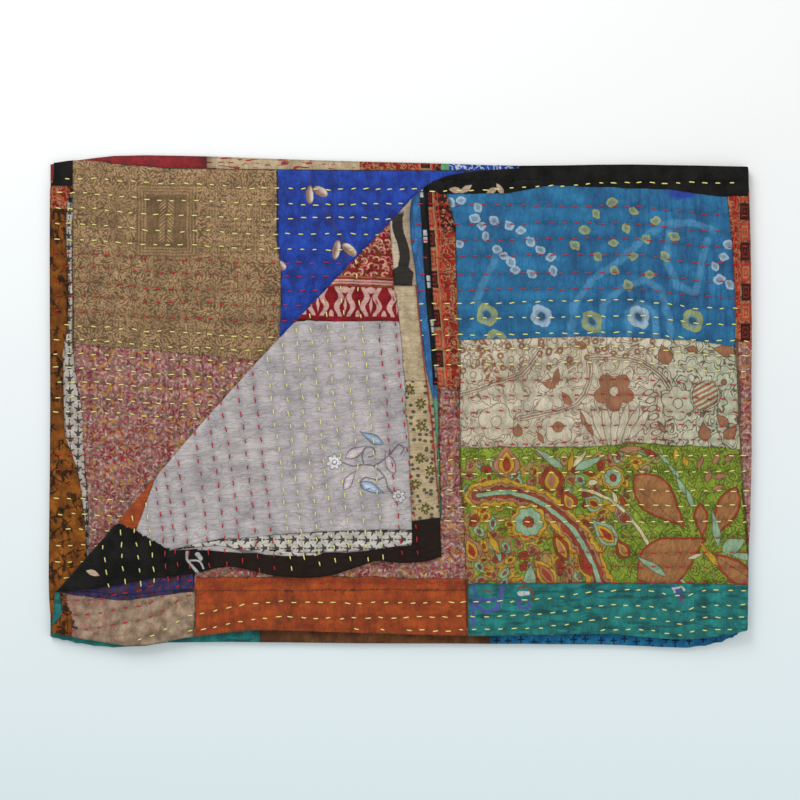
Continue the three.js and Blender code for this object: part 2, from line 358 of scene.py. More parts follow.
TOP_ROWS = stitch_rows(
    (200, 201, 227, 243, 260, 277, 294, 310, 325, 340, 354, 370, 386, 403, 418, 434, 454, 467, 478, 491,
     505, 520, 537, 552, 567, 582, 602, 617, 629.5, 641),
    (183, 205, 222, 238, 254, 272, 287, 299, 315, 331, 346, 361, 378, 394, 409, 425, 440, 455, 471, 490,
     506, 521, 537, 552, 567, 582, 602, 617, 629, 641),
    "yrrrrrryyyyyrrrrryyyyyrrrryyyy",
    "rrrryyyyyyyrrrrrrrryyyyyyyyyyy",
)  # fmt: skip
UNDER_ROWS = stitch_rows(
    (184, 200, 215, 230, 245, 259, 273, 288, 302, 318, 332, 346, 360, 375, 389, 404, 418, 433, 447, 462,
     476, 490, 504, 520, 536, 552, 568, 584, 600, 616, 630),
    (186, 201, 215, 230, 246, 260, 273, 287, 303, 319, 333, 349, 361, 377, 389, 405, 418, 433, 449, 462,
     476, 490, 503, 520, 536, 552, 568, 584, 600, 616, 630),
    "yyyyyrrrrryyyyyyyrrrrryyyyyyyyy",
    "yyyyyrrrrryyyyyyyrrrrryyyyyyyyy",
)  # fmt: skip


@dataclass(frozen=True)
class SewingSizes:
    """How the rows sway, in grid steps, and how deep they pull, in millimetres.

    A row's waver is given as its depth, its width, its start and its step from row to row, and
    the wrinkles as their depth, their width, their height and their start.
    """

    left_at: float = 250.0
    right_at: float = 900.0
    stitch_pitch: float = 20.3
    upper_sway: Rows = ((600, 0), (640, 1), (673, 5), (700, 8.5), (740, 10))
    upper_from: Spot = (190, 200)
    upper_to: Spot = (345, 440)
    left_sway: Rows = (
        (60, 47), (86, 47), (116, 42), (144, 36), (167, 26), (184, 15), (196, 12.4), (209, 9.7), (227, 5.7),
        (251, 2), (281, 0),
    )  # fmt: skip
    left_from: Spot = (537, 552)
    right_sway: Rows = (
        (437, 0), (520, -1), (560, -5), (610, -12), (650, -11), (680, -6), (700, -11), (750, -12),
    )  # fmt: skip
    right_from: Spot = (580, 602)
    under_sway: Rows = ((60, -7), (90, -6.5), (120, -4), (150, -1), (180, 0), (215, 1), (255, 4), (280, 3))
    row_waver: Sequence[tuple[float, float, float, float]] = ((1.6, 90, 0, 3.7), (0.7, 26, 50, 5.3))
    phase_bumps: Spot = (200, 30)
    trough: float = 0.72
    crown: float = 0.5
    crown_reach: float = 4.6
    tug: float = 0.16
    tug_reach: float = 3.4
    wrinkles: Sequence[tuple[float, float, float, Spot]] = (
        (0.34, 4.6, 17, (0, 0)),
        (0.3, 9, 26, (30, 3)),
        (0.26, 15, 13, (60, 60)),
    )
    held_flat: float = 0.65
    thinnest: float = 0.3
    thickest: float = 1.66
    hem_half: float = 0.45
    hem_reach: float = 4.0


class Sewing:
    """The rows of running stitch and the relief that they pull into the cloth."""

    def __init__(self, throw: FoldedThrow, sizes: SewingSizes) -> None:
        """Draws the noise that the rows and the wrinkles follow."""
        self.throw, self.sizes = throw, sizes
        self.wander, self.wrinkles = Bumps(5), Bumps(6)

    def row_depth(self, row: StitchRow, across: np.ndarray, number: int) -> np.ndarray:
        """How far below the straight upper edge a row runs, in millimetres."""
        c = self.sizes
        share = np.clip((across - c.left_at) / (c.right_at - c.left_at), 0, 1)
        grid = row.left + (row.right - row.left) * share
        spot = GRID_LEFT + across / GRID_STEP
        if row in TOP_ROWS:
            upper = smooth(*c.upper_from, grid) * (1 - smooth(*c.upper_to, grid))
            grid = grid + read_rows(c.upper_sway, spot) * upper
            grid = grid + read_rows(c.left_sway, spot) * smooth(*c.left_from, grid)
            grid = grid + read_rows(c.right_sway, spot) * smooth(*c.right_from, grid)
        else:
            grid = grid + read_rows(c.under_sway, spot)
        waver = sum(
            depth * self.wander.at(across / wide + start, np.full_like(across, number * step))
            for depth, wide, start, step in c.row_waver
        )
        return (grid - GRID_TOP) * GRID_STEP + waver

    def off_row(self, f: Flat, below: np.ndarray) -> np.ndarray:
        """The distance to the nearest row, below being how far each place lies below the edge."""
        upper = f.t < self.throw.sizes.flat[1] / 2
        nearest = np.full_like(f.u, 1e3)
        for rows, mask in ((TOP_ROWS, upper), (UNDER_ROWS, ~upper)):
            for number, row in enumerate(rows):
                off = np.abs(below[mask] - self.row_depth(row, f.u[mask], number))
                nearest[mask] = np.minimum(nearest[mask], off)
        return nearest

    def below_edge(self, f: Flat) -> np.ndarray:
        """How far below the straight upper edge each place would lie with no corner turned."""
        return np.where(f.v > f.fold_at, 2 * f.fold_at + self.throw.sizes.lower_turn - f.v, f.v)

    def stitch_phase(self, u: np.ndarray, v: np.ndarray) -> np.ndarray:
        """How far the stitches of a row run ahead of an even spacing, as an angle."""
        wide, tall = self.sizes.phase_bumps
        return 2 * self.wander.at(u / wide, v / tall)

    def relief(self, f: Flat) -> np.ndarray:
        """How far the cloth's outer surface stands off its middle surface, in millimetres."""
        c, flat = self.sizes, self.throw.sizes.flat
        off = self.off_row(f, self.below_edge(f))
        crown = 1 - np.exp(-((off / c.crown_reach) ** 2))
        held = np.cos(2 * math.pi * f.u / c.stitch_pitch + self.stitch_phase(f.u, f.v))
        tug = np.exp(-((off / c.tug_reach) ** 2)) * c.tug * held
        wrinkled = sum(
            self.wrinkles.at(f.u / wide + i, f.v / tall + j) * depth
            for depth, wide, tall, (i, j) in c.wrinkles
        )
        height = c.trough + c.crown * crown + tug + wrinkled * (1 - c.held_flat + c.held_flat * crown)
        from_hem = np.minimum.reduce([f.t, flat[1] - f.t, f.s, flat[0] - f.s])
        edge = smooth(0, c.hem_reach, from_hem)
        return np.clip(height, c.thinnest, c.thickest) * edge + c.hem_half * (1 - edge)


# The patches of cloth


class Print(Enum):
    """The cloths that the throw is pieced from."""

    BLACK = "black_cloth"
    BANDHANI = "blue_tie_dye"
    CREAM_FLORAL = "cream_line_flowers"
    GREEN_FLORAL = "green_flowers"
    TEAL = "teal_cloth"
    ORANGE = "orange_cloth"
    BROWN = "brown_cloth"
    BEIGE = "beige_cloth"
    VIOLET = "violet_mottled"
    RED_BLOCK = "red_block_print"
    PINK_FLORAL = "pink_small_flowers"
    SATIN = "blue_satin"
    FLECKED = "black_flecked"
    BROCADE = "brown_brocade"
    ROYAL = "royal_blue"
    OCHRE = "ochre_crackle"
    ARROWS = "arrow_print"
    FLAMES = "red_border_print"
    WAVE = "cream_waves"
    CREAM = "cream_cloth"
    STARS = "star_print"
    GREY = "grey_lavender"
    MAROON = "maroon_cloth"
    SCROLLS = "green_blue_scrolls"
    CROSSES = "blue_crosses"
    LINING = "inner_cloth"


@dataclass(frozen=True)
class Patch:
    """A patch: the leaf that it shows on, its cloth and its outline as spots of the grid."""

    leaf: Leaf
    cloth: Print
    outline: Sequence[Spot]


def box(left: float, top: float, right: float, bottom: float) -> list[Spot]:
    """The outline of an upright rectangle."""
    return [(left, top), (right, top), (right, bottom), (left, bottom)]


PIECING = {
    Leaf.FRONT: (
        (Print.LINING, box(0, 100, 900, 760)),
        (Print.RED_BLOCK, [(424, 180), (446, 180), (455, 227), (458, 339), (459, 390), (437, 390)]),
        (Print.SATIN, [(360, 180), (424, 180), (431, 284), (437, 380), (441, 500), (360, 560)]),
        (Print.FLECKED, [(419, 180), (427, 180), (432, 284), (438, 390), (434, 390), (425, 284)]),
        (Print.PINK_FLORAL, [(437, 386), (459, 388), (466, 590), (180, 590), (180, 555), (441, 520)]),
        (Print.PINK_FLORAL, [(735, 340), (830, 340), (830, 585), (750, 584), (740, 500)]),
        (Print.RED_BLOCK, [(724, 180), (830, 180), (830, 341), (734, 341), (731, 250)]),
        (Print.BANDHANI, [(443, 180), (724, 180), (731, 250), (733, 346), (681, 339), (600, 336), (459, 340),
                          (455, 227)]),
        (Print.CREAM_FLORAL, [(459, 340), (600, 336), (681, 339), (733, 346), (737, 449), (640, 443),
                              (560, 447), (459, 447)]),
        (Print.GREEN_FLORAL, [(459, 447), (560, 447), (640, 443), (737, 449), (744, 520), (751, 584),
                              (610, 582), (466, 584)]),
        (Print.TEAL, [(466, 584), (610, 582), (751, 584), (860, 586), (860, 760), (468, 760)]),
        (Print.ORANGE, [(194, 577), (330, 576), (468, 579), (469, 760), (192, 760)]),
        (Print.BEIGE, [(66, 590), (130, 595), (195, 588), (193, 760), (75, 760)]),
        (Print.VIOLET, [(40, 560), (195, 560), (194, 591), (130, 600), (90, 597), (62, 592)]),
        (Print.OCHRE, [(40, 588), (62, 592), (72, 615), (75, 760), (40, 760)]),
        (Print.TEAL, [(40, 588), (60, 592), (63, 614), (50, 628), (40, 628)]),
        (Print.BLACK, [(400, 120), (860, 120), (860, 198), (724, 196), (655, 188), (553, 185), (505, 193),
                       (443, 194), (424, 190)]),
    ),
    Leaf.FLAP: (
        (Print.GREY, box(20, 100, 500, 700)),
        (Print.FLAMES, [(260, 322), (399, 321), (394, 285), (389, 215), (385, 170), (300, 150)]),
        (Print.WAVE, [(394, 285), (389, 215), (385, 170), (470, 150), (470, 286)]),
        (Print.CREAM, [(394, 285), (470, 286), (470, 380), (404, 381), (399, 321)]),
        (Print.STARS, [(404, 381), (470, 380), (470, 514), (411, 520), (409, 450)]),
        (Print.BLACK, [(411, 520), (470, 514), (470, 640), (20, 640), (20, 560), (119, 523), (136, 530),
                       (165, 547), (217, 551), (275, 553), (350, 552), (411, 545)]),
        (Print.ARROWS, [(166, 550), (217, 539), (319, 531), (411, 529), (411, 545), (350, 551), (275, 553),
                        (217, 545)]),
        (Print.ORANGE, [(119, 523), (100, 500), (150, 460), (157, 477), (146, 505), (136, 530)]),
    ),
    Leaf.UNDER: (
        (Print.OCHRE, box(20, 100, 500, 760)),
        (Print.RED_BLOCK, box(20, 185, 69, 208)),
        (Print.BLACK, box(20, 120, 72, 185)),
        (Print.BROCADE, [(72, 120), (277, 120), (276, 240), (281, 270), (279, 362), (72, 343)]),
        (Print.ROYAL, [(277, 120), (640, 120), (640, 400), (280, 400), (279, 362), (281, 270), (276, 240)]),
        (Print.PINK_FLORAL, [(72, 343), (160, 351), (279, 362), (277, 620), (90, 620), (88, 527), (82, 420),
                             (76, 380)]),
        (Print.ARROWS, [(72, 190), (66, 200), (66, 246), (68, 262), (67.5, 330), (63, 350), (62, 388),
                        (64, 438), (76, 466), (84, 520), (88, 570), (90, 570), (88, 510), (84, 459),
                        (82, 420), (76, 380), (72, 343)]),
    ),
    Leaf.PEEK: (
        (Print.CREAM, box(-60, 80, 900, 400)),
        (Print.MAROON, box(-60, 80, 206, 400)),
        (Print.RED_BLOCK, box(350, 80, 430, 400)),
        (Print.SCROLLS, box(430, 80, 520, 400)),
        (Print.BLACK, box(520, 80, 900, 400)),
        (Print.TEAL, box(-60, 400, 260, 760)),
        (Print.BROWN, box(260, 400, 490, 760)),
        (Print.CROSSES, box(490, 400, 900, 760)),
    ),
    Leaf.BASE: (
        (Print.MAROON, box(-60, 80, 290, 360)),
        (Print.ROYAL, box(290, 80, 560, 300)),
        (Print.RED_BLOCK, box(560, 80, 900, 300)),
        (Print.BROCADE, box(290, 300, 640, 520)),
        (Print.PINK_FLORAL, box(640, 300, 900, 560)),
        (Print.GREY, box(-60, 360, 290, 620)),
        (Print.ORANGE, box(290, 520, 640, 620)),
        (Print.TEAL, box(-60, 620, 640, 760)),
        (Print.CROSSES, box(640, 560, 900, 760)),
    ),
}  # fmt: skip
PATCHES = [Patch(leaf, cloth, outline) for leaf, pieces in PIECING.items() for cloth, outline in pieces]


# The cloth's mesh


def cloth_mesh(name: str, points: np.ndarray, triangles: np.ndarray) -> bpy.types.Mesh:
    """A smooth mesh of triangles, its points given in millimetres."""
    mesh = bpy.data.meshes.new(name)
    mesh.vertices.add(len(points))
    mesh.vertices.foreach_set("co", (points / 1000).astype(np.float32).ravel())
    mesh.loops.add(triangles.size)
    mesh.loops.foreach_set("vertex_index", triangles.astype(np.int32).ravel())
    mesh.polygons.add(len(triangles))
    mesh.polygons.foreach_set("loop_start", np.arange(0, triangles.size, 3, dtype=np.int32))
    mesh.update(calc_edges=True)
    mesh.polygons.foreach_set("use_smooth", np.ones(len(triangles), bool))
    return mesh


def into_scene(name: str, mesh: bpy.types.Mesh) -> bpy.types.Object:
    """Puts a mesh into the scene as a piece."""
    piece = bpy.data.objects.new(name, mesh)
    bpy.context.collection.objects.link(piece)
    LOG.info("%s: %d triangles", name, len(mesh.polygons))
    return piece


@dataclass(frozen=True)
class ClothSizes:
    """How finely the cloth is laid out and how far it wanders, in mm. Snap is a share of the fine step."""

    fine: float = 3.3
    coarse: float = 42.0
    flap_reach: float = 612.0
    below_flap: float = 585.0
    margin: float = 16.0
    fold_steps: int = 7
    crease_steps: Sequence[float] = (-10, -3, 3, 7, 11, 18)
    turned_columns: Sequence[float] = (
        4, 10, 16, 34, 60, 90, 130, 175, 230, 290, 356, 404, 481, 550, 610, 665, 720, 767, 810,
        852, 895, 950, 1000, 1030, 1059, 1080, 1094, 1100,
    )  # fmt: skip
    peek_steps: Sequence[float] = (1.5, 4, 8, 13, 19, 26, 40, 70)
    hem_strip: float = 22.0
    closest: float = 0.5
    snap: float = 0.52
    seam_trough: float = 0.3
    seam_from: Spot = (0.5, 0.9)
    still_hem: float = 30.0
    still_fold: Spot = (6, 12)
    warp: Sequence[Spot] = ((1.3, 34), (0.5, 11))


@dataclass
class Side:
    """One side of the cloth: its points, as columns of indices, and which seam each point is on."""

    front: bool
    flat: Flat
    columns: list[np.ndarray]
    seam: np.ndarray


class Cloth:
    """Builds the throw's closed sheet, its patches and the attributes that its materials read."""

    def __init__(self, throw: FoldedThrow, sewing: Sewing, sizes: ClothSizes) -> None:
        """Draws the noise by which the cloth wanders."""
        self.throw, self.sewing, self.sizes = throw, sewing, sizes
        self.warp = Bumps(21), Bumps(22)
        self.to_frame = np.zeros(3)

    def column_places(self) -> np.ndarray:
        """How far across the cloth each column of points is."""
        z = self.throw.sizes
        across = np.linspace(0, z.width, round(z.width / self.sizes.fine) + 1)
        turn = z.width + z.side_turn * np.arange(1, self.sizes.fold_steps + 1) / self.sizes.fold_steps
        return np.concatenate([across, turn, turn[-1] + np.array(self.sizes.turned_columns, float)])

    @staticmethod
    def _spread(start: float, end: float, step: float) -> list[float]:
        """Even places from a start to an end, no further apart than a step."""
        count = max(1, math.ceil((end - start) / step))
        return list(np.linspace(start, end, count + 1))

    def column_steps(self, s: float, front: bool) -> np.ndarray:
        """The places down one column, fine where that side of the cloth shows.

        Args:
            s: how far across the cloth the column is.
            front: whether it is on the cloth's front.
        """
        z, c = self.throw.sizes, self.sizes
        flat_d = z.flat[1]
        crease = self.throw.crease_depth(s)
        onto = crease + c.margin
        fold = [z.depth + z.lower_turn * k / c.fold_steps for k in range(c.fold_steps + 1)]
        steps = {0.0, *fold, flat_d}
        fine: list[tuple[float, float]] = []
        if s <= z.width and front:
            fine.append((c.below_flap if s < c.flap_reach else 0.0, z.depth))
        elif s <= z.width:
            reach = onto if s < self.throw.head[0] else c.hem_strip
            if s < self.throw.head[0]:
                fine.append((0.0, min(reach, z.depth)))
            fine.append((flat_d - min(reach, z.depth), flat_d))
        edges = sorted({0.0, z.depth, fold[-1], flat_d, *(e for pair in fine for e in pair)})
        for low, high in zip(edges, edges[1:]):
            if low == z.depth:
                continue
            dense = any(a <= low and high <= b for a, b in fine)
            steps.update(self._spread(low, high, c.fine if dense else c.coarse))
        for near in c.peek_steps:
            steps.update((near, z.depth - near, fold[-1] + near, flat_d - near))
        if front and 0 < crease < z.depth and s < self.throw.head[0]:
            steps.update(crease + k for k in c.crease_steps if 0 < crease + k < z.depth)
        ordered = sorted(steps)
        kept = [ordered[0]]
        for t in ordered[1:]:
            if t - kept[-1] > c.closest:
                kept.append(t)
        kept[-1] = flat_d
        return np.array(kept)

    def lattice(self, front: bool) -> Side:
        """One side's points on the flat cloth, before its seams are drawn."""
        s_all, t_all, columns, count = [], [], [], 0
        for s in self.column_places():
            steps = self.column_steps(float(s), front)
            s_all.append(np.full(len(steps), s))
            t_all.append(steps)
            columns.append(np.arange(count, count + len(steps)))
            count += len(steps)
        flat = self.throw.lay_out(np.concatenate(s_all), np.concatenate(t_all))
        return Side(front, flat, columns, np.zeros(count, int))

    def leaf_of(self, f: Flat, front: bool) -> np.ndarray:
        """The leaf that each place belongs to, as a number."""
        z = self.throw.sizes
        upper = f.t < z.flat[1] / 2
        near = f.s < z.width + z.side_turn / 2
        order = list(Leaf)
        if front:
            picks = ((near & upper, Leaf.FRONT), (~near & ~upper, Leaf.PEEK), (~near & upper, Leaf.BASE))
        else:
            turned = upper & (self.throw.beyond_crease(f.u, f.v) > 0)
            picks = ((near & turned, Leaf.FLAP), (near & ~upper, Leaf.UNDER))
        leaf = np.full(f.u.shape, order.index(Leaf.INNER))
        for mask, name in picks:
            leaf[mask] = order.index(name)
        return leaf

    def grid_spots(self, f: Flat, leaf: np.ndarray) -> np.ndarray:
        """Each place as a spot of the grid, the turned corner unfolded onto the front's spots."""
        place = self.throw.pattern_place(f)
        spots = np.stack([place[:, 0], -place[:, 1]], -1)
        flap = leaf == list(Leaf).index(Leaf.FLAP)
        spots[flap] = np.stack([f.u, f.v], -1)[flap]
        return spots / GRID_STEP + (GRID_LEFT, GRID_TOP)

    def unfolded(self, spot: Spot) -> Spot:
        """A spot seen on the turned corner, as a spot of the front with the corner laid flat."""
        x, below = to_mm(spot)
        y = -below
        bow = float(self.throw.bow_at(np.array([x]), np.array([y]))[0])
        x, y = x - bow * self.throw.across[0], y - bow * self.throw.across[1]
        fold = math.pi * self.throw.sizes.crease_radius / 2
        off = float(self.throw.beyond_crease(x, -y)) - fold
        x, y = x - 2 * off * self.throw.across[0], y - 2 * off * self.throw.across[1]
        return x / GRID_STEP + GRID_LEFT, -y / GRID_STEP + GRID_TOP

    def outline(self, patch: Patch) -> np.ndarray:
        """A patch's outline in the spots that grid_spots gives for its leaf."""
        if patch.leaf is Leaf.FLAP:
            return np.array([self.unfolded(spot) for spot in patch.outline])
        return np.array(patch.outline, float)

    def draw_seams(self, side: Side) -> None:
        """Moves the nearest points onto the seams, so that patches meet along clean edges."""
        leaf = self.leaf_of(side.flat, side.front)
        reach = self.sizes.snap * self.sizes.fine / GRID_STEP
        for number, patch in enumerate(reversed(PATCHES), start=1):
            mine = leaf == list(Leaf).index(patch.leaf)
            if not mine.any():
                continue
            points = self.outline(patch)
            spots = self.grid_spots(side.flat, leaf)
            for p, q in zip(points, np.roll(points, -1, 0)):
                run = q - p
                axis = 0 if abs(run[1]) > abs(run[0]) else 1
                other = 1 - axis
                share = (spots[:, other] - p[other]) / run[other]
                off = p[axis] + share * run[axis] - spots[:, axis]
                hit = mine & (side.seam == 0) & (share >= 0) & (share <= 1) & (np.abs(off) <= reach)
                self._shift(side.flat, hit, axis, off * GRID_STEP, patch.leaf)
                side.seam[hit] = number

    @staticmethod
    def _shift(f: Flat, hit: np.ndarray, axis: int, off: np.ndarray, leaf: Leaf) -> None:
        """Moves points across or down the folded throw, which some leaves show mirrored."""
        mirrored = {Leaf.UNDER: (1, -1), Leaf.PEEK: (-1, -1), Leaf.BASE: (-1, 1)}
        sign = mirrored.get(leaf, (1, 1))[axis]
        places = (f.u, f.v)[axis]
        places[hit] += sign * off[hit]

    def zip_columns(self, side: Side) -> np.ndarray:
        """The triangles between neighbouring columns, with edges along the seams where they can be."""
        v, seam = side.flat.v.tolist(), side.seam.tolist()
        triangles = []
        for left, right in zip(side.columns, side.columns[1:]):
            a, b = left.tolist(), right.tolist()
            i = j = 0
            while i < len(a) - 1 or j < len(b) - 1:
                if i == len(a) - 1:
                    down_left = False
                elif j == len(b) - 1:
                    down_left = True
                else:
                    down_left = v[a[i + 1]] <= v[b[j + 1]]
                    if seam[a[i]] and seam[a[i]] == seam[b[j + 1]] and not seam[a[i + 1]] == seam[b[j]]:
                        down_left = False
                    elif seam[b[j]] and seam[b[j]] == seam[a[i + 1]] and not seam[a[i]] == seam[b[j + 1]]:
                        down_left = True
                if down_left:
                    triangles.append((a[i], a[i + 1], b[j]))
                    i += 1
                else:
                    triangles.append((a[i], b[j + 1], b[j]))
                    j += 1
        return np.array(triangles)

    def prints_of(self, side: Side, triangles: np.ndarray) -> np.ndarray:
        """The cloth of each triangle, as a number."""
        leaf = self.leaf_of(side.flat, side.front)
        spots = self.grid_spots(side.flat, leaf)
        middle_leaf = np.sort(leaf[triangles], 1)[:, 1]
        order = list(Leaf)
        cloth = np.full(len(triangles), list(Print).index(Print.LINING))
        middles = spots[triangles].mean(1)
        for patch in PATCHES:
            mine = np.flatnonzero(middle_leaf == order.index(patch.leaf))
            inside = self._inside(self.outline(patch), middles[mine])
            cloth[mine[inside]] = list(Print).index(patch.cloth)
        return cloth

    @staticmethod
    def _inside(outline: np.ndarray, points: np.ndarray) -> np.ndarray:
        """Whether each point lies inside an outline."""
        inside = np.zeros(len(points), bool)
        for p, q in zip(outline, np.roll(outline, -1, 0)):
            crosses = (p[1] > points[:, 1]) != (q[1] > points[:, 1])
            with np.errstate(divide="ignore", invalid="ignore"):
                at = p[0] + (points[:, 1] - p[1]) * (q[0] - p[0]) / (q[1] - p[1])
            inside ^= crosses & (points[:, 0] < at)
        return inside

    def rim(self, front: Side, back: Side, shift: int) -> list[tuple[int, int, int]]:
        """The triangles round the hems, from the front's points to the back's."""
        rim = []
        for end, flip in ((0, False), (-1, True)):
            a, b = front.columns[end].tolist(), (back.columns[end] + shift).tolist()
            t_a, t_b = front.flat.t[front.columns[end]], back.flat.t[back.columns[end]]
            i = j = 0
            while i < len(a) - 1 or j < len(b) - 1:
                if j == len(b) - 1 or (i < len(a) - 1 and t_a[i + 1] <= t_b[j + 1]):
                    face = (a[i], b[j], a[i + 1])
                    i += 1
                else:
                    face = (a[i], b[j], b[j + 1])
                    j += 1
                rim.append(face[::-1] if flip else face)
        for k in range(len(front.columns) - 1):
            for end, flip in ((0, False), (-1, True)):
                left, right = int(front.columns[k][end]), int(front.columns[k + 1][end])
                under_left, under_right = (int(back.columns[n][end]) + shift for n in (k, k + 1))
                faces = [(right, under_right, under_left), (right, under_left, left)]
                rim.extend(face[::-1] if flip else face for face in faces)
        return rim

    def warped(self, f: Flat) -> Flat:
        """The places with the small wander of hand-cut and hand-sewn cloth."""
        z, c = self.throw.sizes, self.sizes
        flat_w, flat_d = z.flat
        still = smooth(0, c.still_hem, np.minimum.reduce([f.s, flat_w - f.s, f.t, flat_d - f.t]))
        fold = smooth(0, c.still_fold[1], np.abs(f.v - f.fold_at - z.lower_turn / 2) - c.still_fold[0])
        (wide, bump), (small, fine) = c.warp
        du, dv = (
            w.at(f.u / bump + k, f.v / bump) * wide + w.at(f.u / fine, f.v / fine + k) * small
            for k, w in enumerate(self.warp)
        )
        return f.moved(du * still, dv * still * fold)

    def build(self, name: str, materials: dict[Print, bpy.types.Material]) -> bpy.types.Object:
        """Makes the throw's mesh.

        Args:
            name: the piece's name.
            materials: the material of each cloth.

        Returns:
            The piece, its place in its mesh.
        """
        places, patterns, cloths, seams, crowns = [], [], [], [], []
        triangles, prints, sides, shift = [], [], [], 0
        for front in (True, False):
            side = self.lattice(front)
            self.draw_seams(side)
            faces = self.zip_columns(side)
            prints.append(self.prints_of(side, faces))
            patterns.append(self.throw.pattern_place(side.flat))
            cloths.append(np.stack([side.flat.u, side.flat.v], -1))
            moved = self.warped(side.flat)
            relief = self.sewing.relief(moved)
            crowns.append(relief)
            deep = self.sizes.seam_trough * (side.seam > 0) * smooth(*self.sizes.seam_from, relief)
            relief = relief - deep
            places.append(self.throw.place(moved, relief if front else -relief))
            seams.append((side.seam > 0).astype(float))
            triangles.append((faces if front else faces[:, ::-1]) + shift)
            sides.append(side)
            shift += len(side.seam)
        rim = np.array(self.rim(sides[0], sides[1], len(sides[0].seam)))
        owner = np.full(shift, list(Print).index(Print.LINING))
        for faces, cloth in zip(triangles, prints):
            owner[faces.ravel()] = np.repeat(cloth, 3)
        triangles.append(rim)
        prints.append(owner[rim[:, 0]])
        points = np.concatenate(places)
        self.to_frame = self._onto_frame(points)
        mesh = cloth_mesh(name, points + self.to_frame, np.concatenate(triangles))
        mesh.polygons.foreach_set("material_index", np.concatenate(prints).astype(np.int32))
        for cloth in Print:
            mesh.materials.append(materials[cloth])
        self._layer(mesh, "print", np.concatenate(patterns) / 1000)
        self._layer(mesh, "cloth", np.concatenate(cloths) / 1000)
        # The materials read the seam and crown layers to paint shade along the seams and in the troughs, and
        # light on the crowns.
        for layer, values in (("seam", seams), ("crown", crowns)):
            kept = mesh.attributes.new(layer, "FLOAT", "POINT").data
            kept.foreach_set("value", np.concatenate(values).astype(np.float32))
        return into_scene(name, mesh)

    @staticmethod
    def _onto_frame(points: np.ndarray) -> np.ndarray:
        """The step in mm that centres the cloth on its CAD solid and sets it on the floor."""
        low, high = (np.array(corner) * 1000 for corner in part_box("throw"))
        middle = (low + high) / 2 - (points.min(0) + points.max(0)) / 2
        return np.array([middle[0], middle[1], low[2] - points[:, 2].min()])

    @staticmethod
    def _layer(mesh: bpy.types.Mesh, name: str, places: np.ndarray) -> None:
        """Gives the mesh a UV map from a place for each point."""
        corners = np.empty(len(mesh.loops), np.int32)
        mesh.loops.foreach_get("vertex_index", corners)
        layer = mesh.uv_layers.new(name=name)
        layer.data.foreach_set("uv", places[corners].astype(np.float32).ravel())


@dataclass(frozen=True)
class StitchSizes:
    """A stitch of thick cotton thread, in millimetres, and how near to an edge the stitches come.

    Its stations, taper, top and belly are shares of its length and half its thickness, its turn
    an angle.
    """

    length: float = 8.2
    length_spread: float = 1.7
    thickness: float = 1.95
    height: float = 0.8
    bite: float = 0.45
    turn: float = 0.19
    stations: Sequence[float] = (-0.44, -0.2, 0.2, 0.44)
    taper: float = 0.35
    top: float = 0.55
    belly: float = 1.2
    slope_reach: float = 4.0
    loose_along: float = 1.3
    loose_across: float = 1.1
    hem_gap: float = 5.0
    fold_gap: float = 4.0
    left_gap: float = 8.0
    right_gap: float = 2.0
    onto_crease: float = 2.0
    flap_gap: float = 9.0
    under_flap: float = 6.0


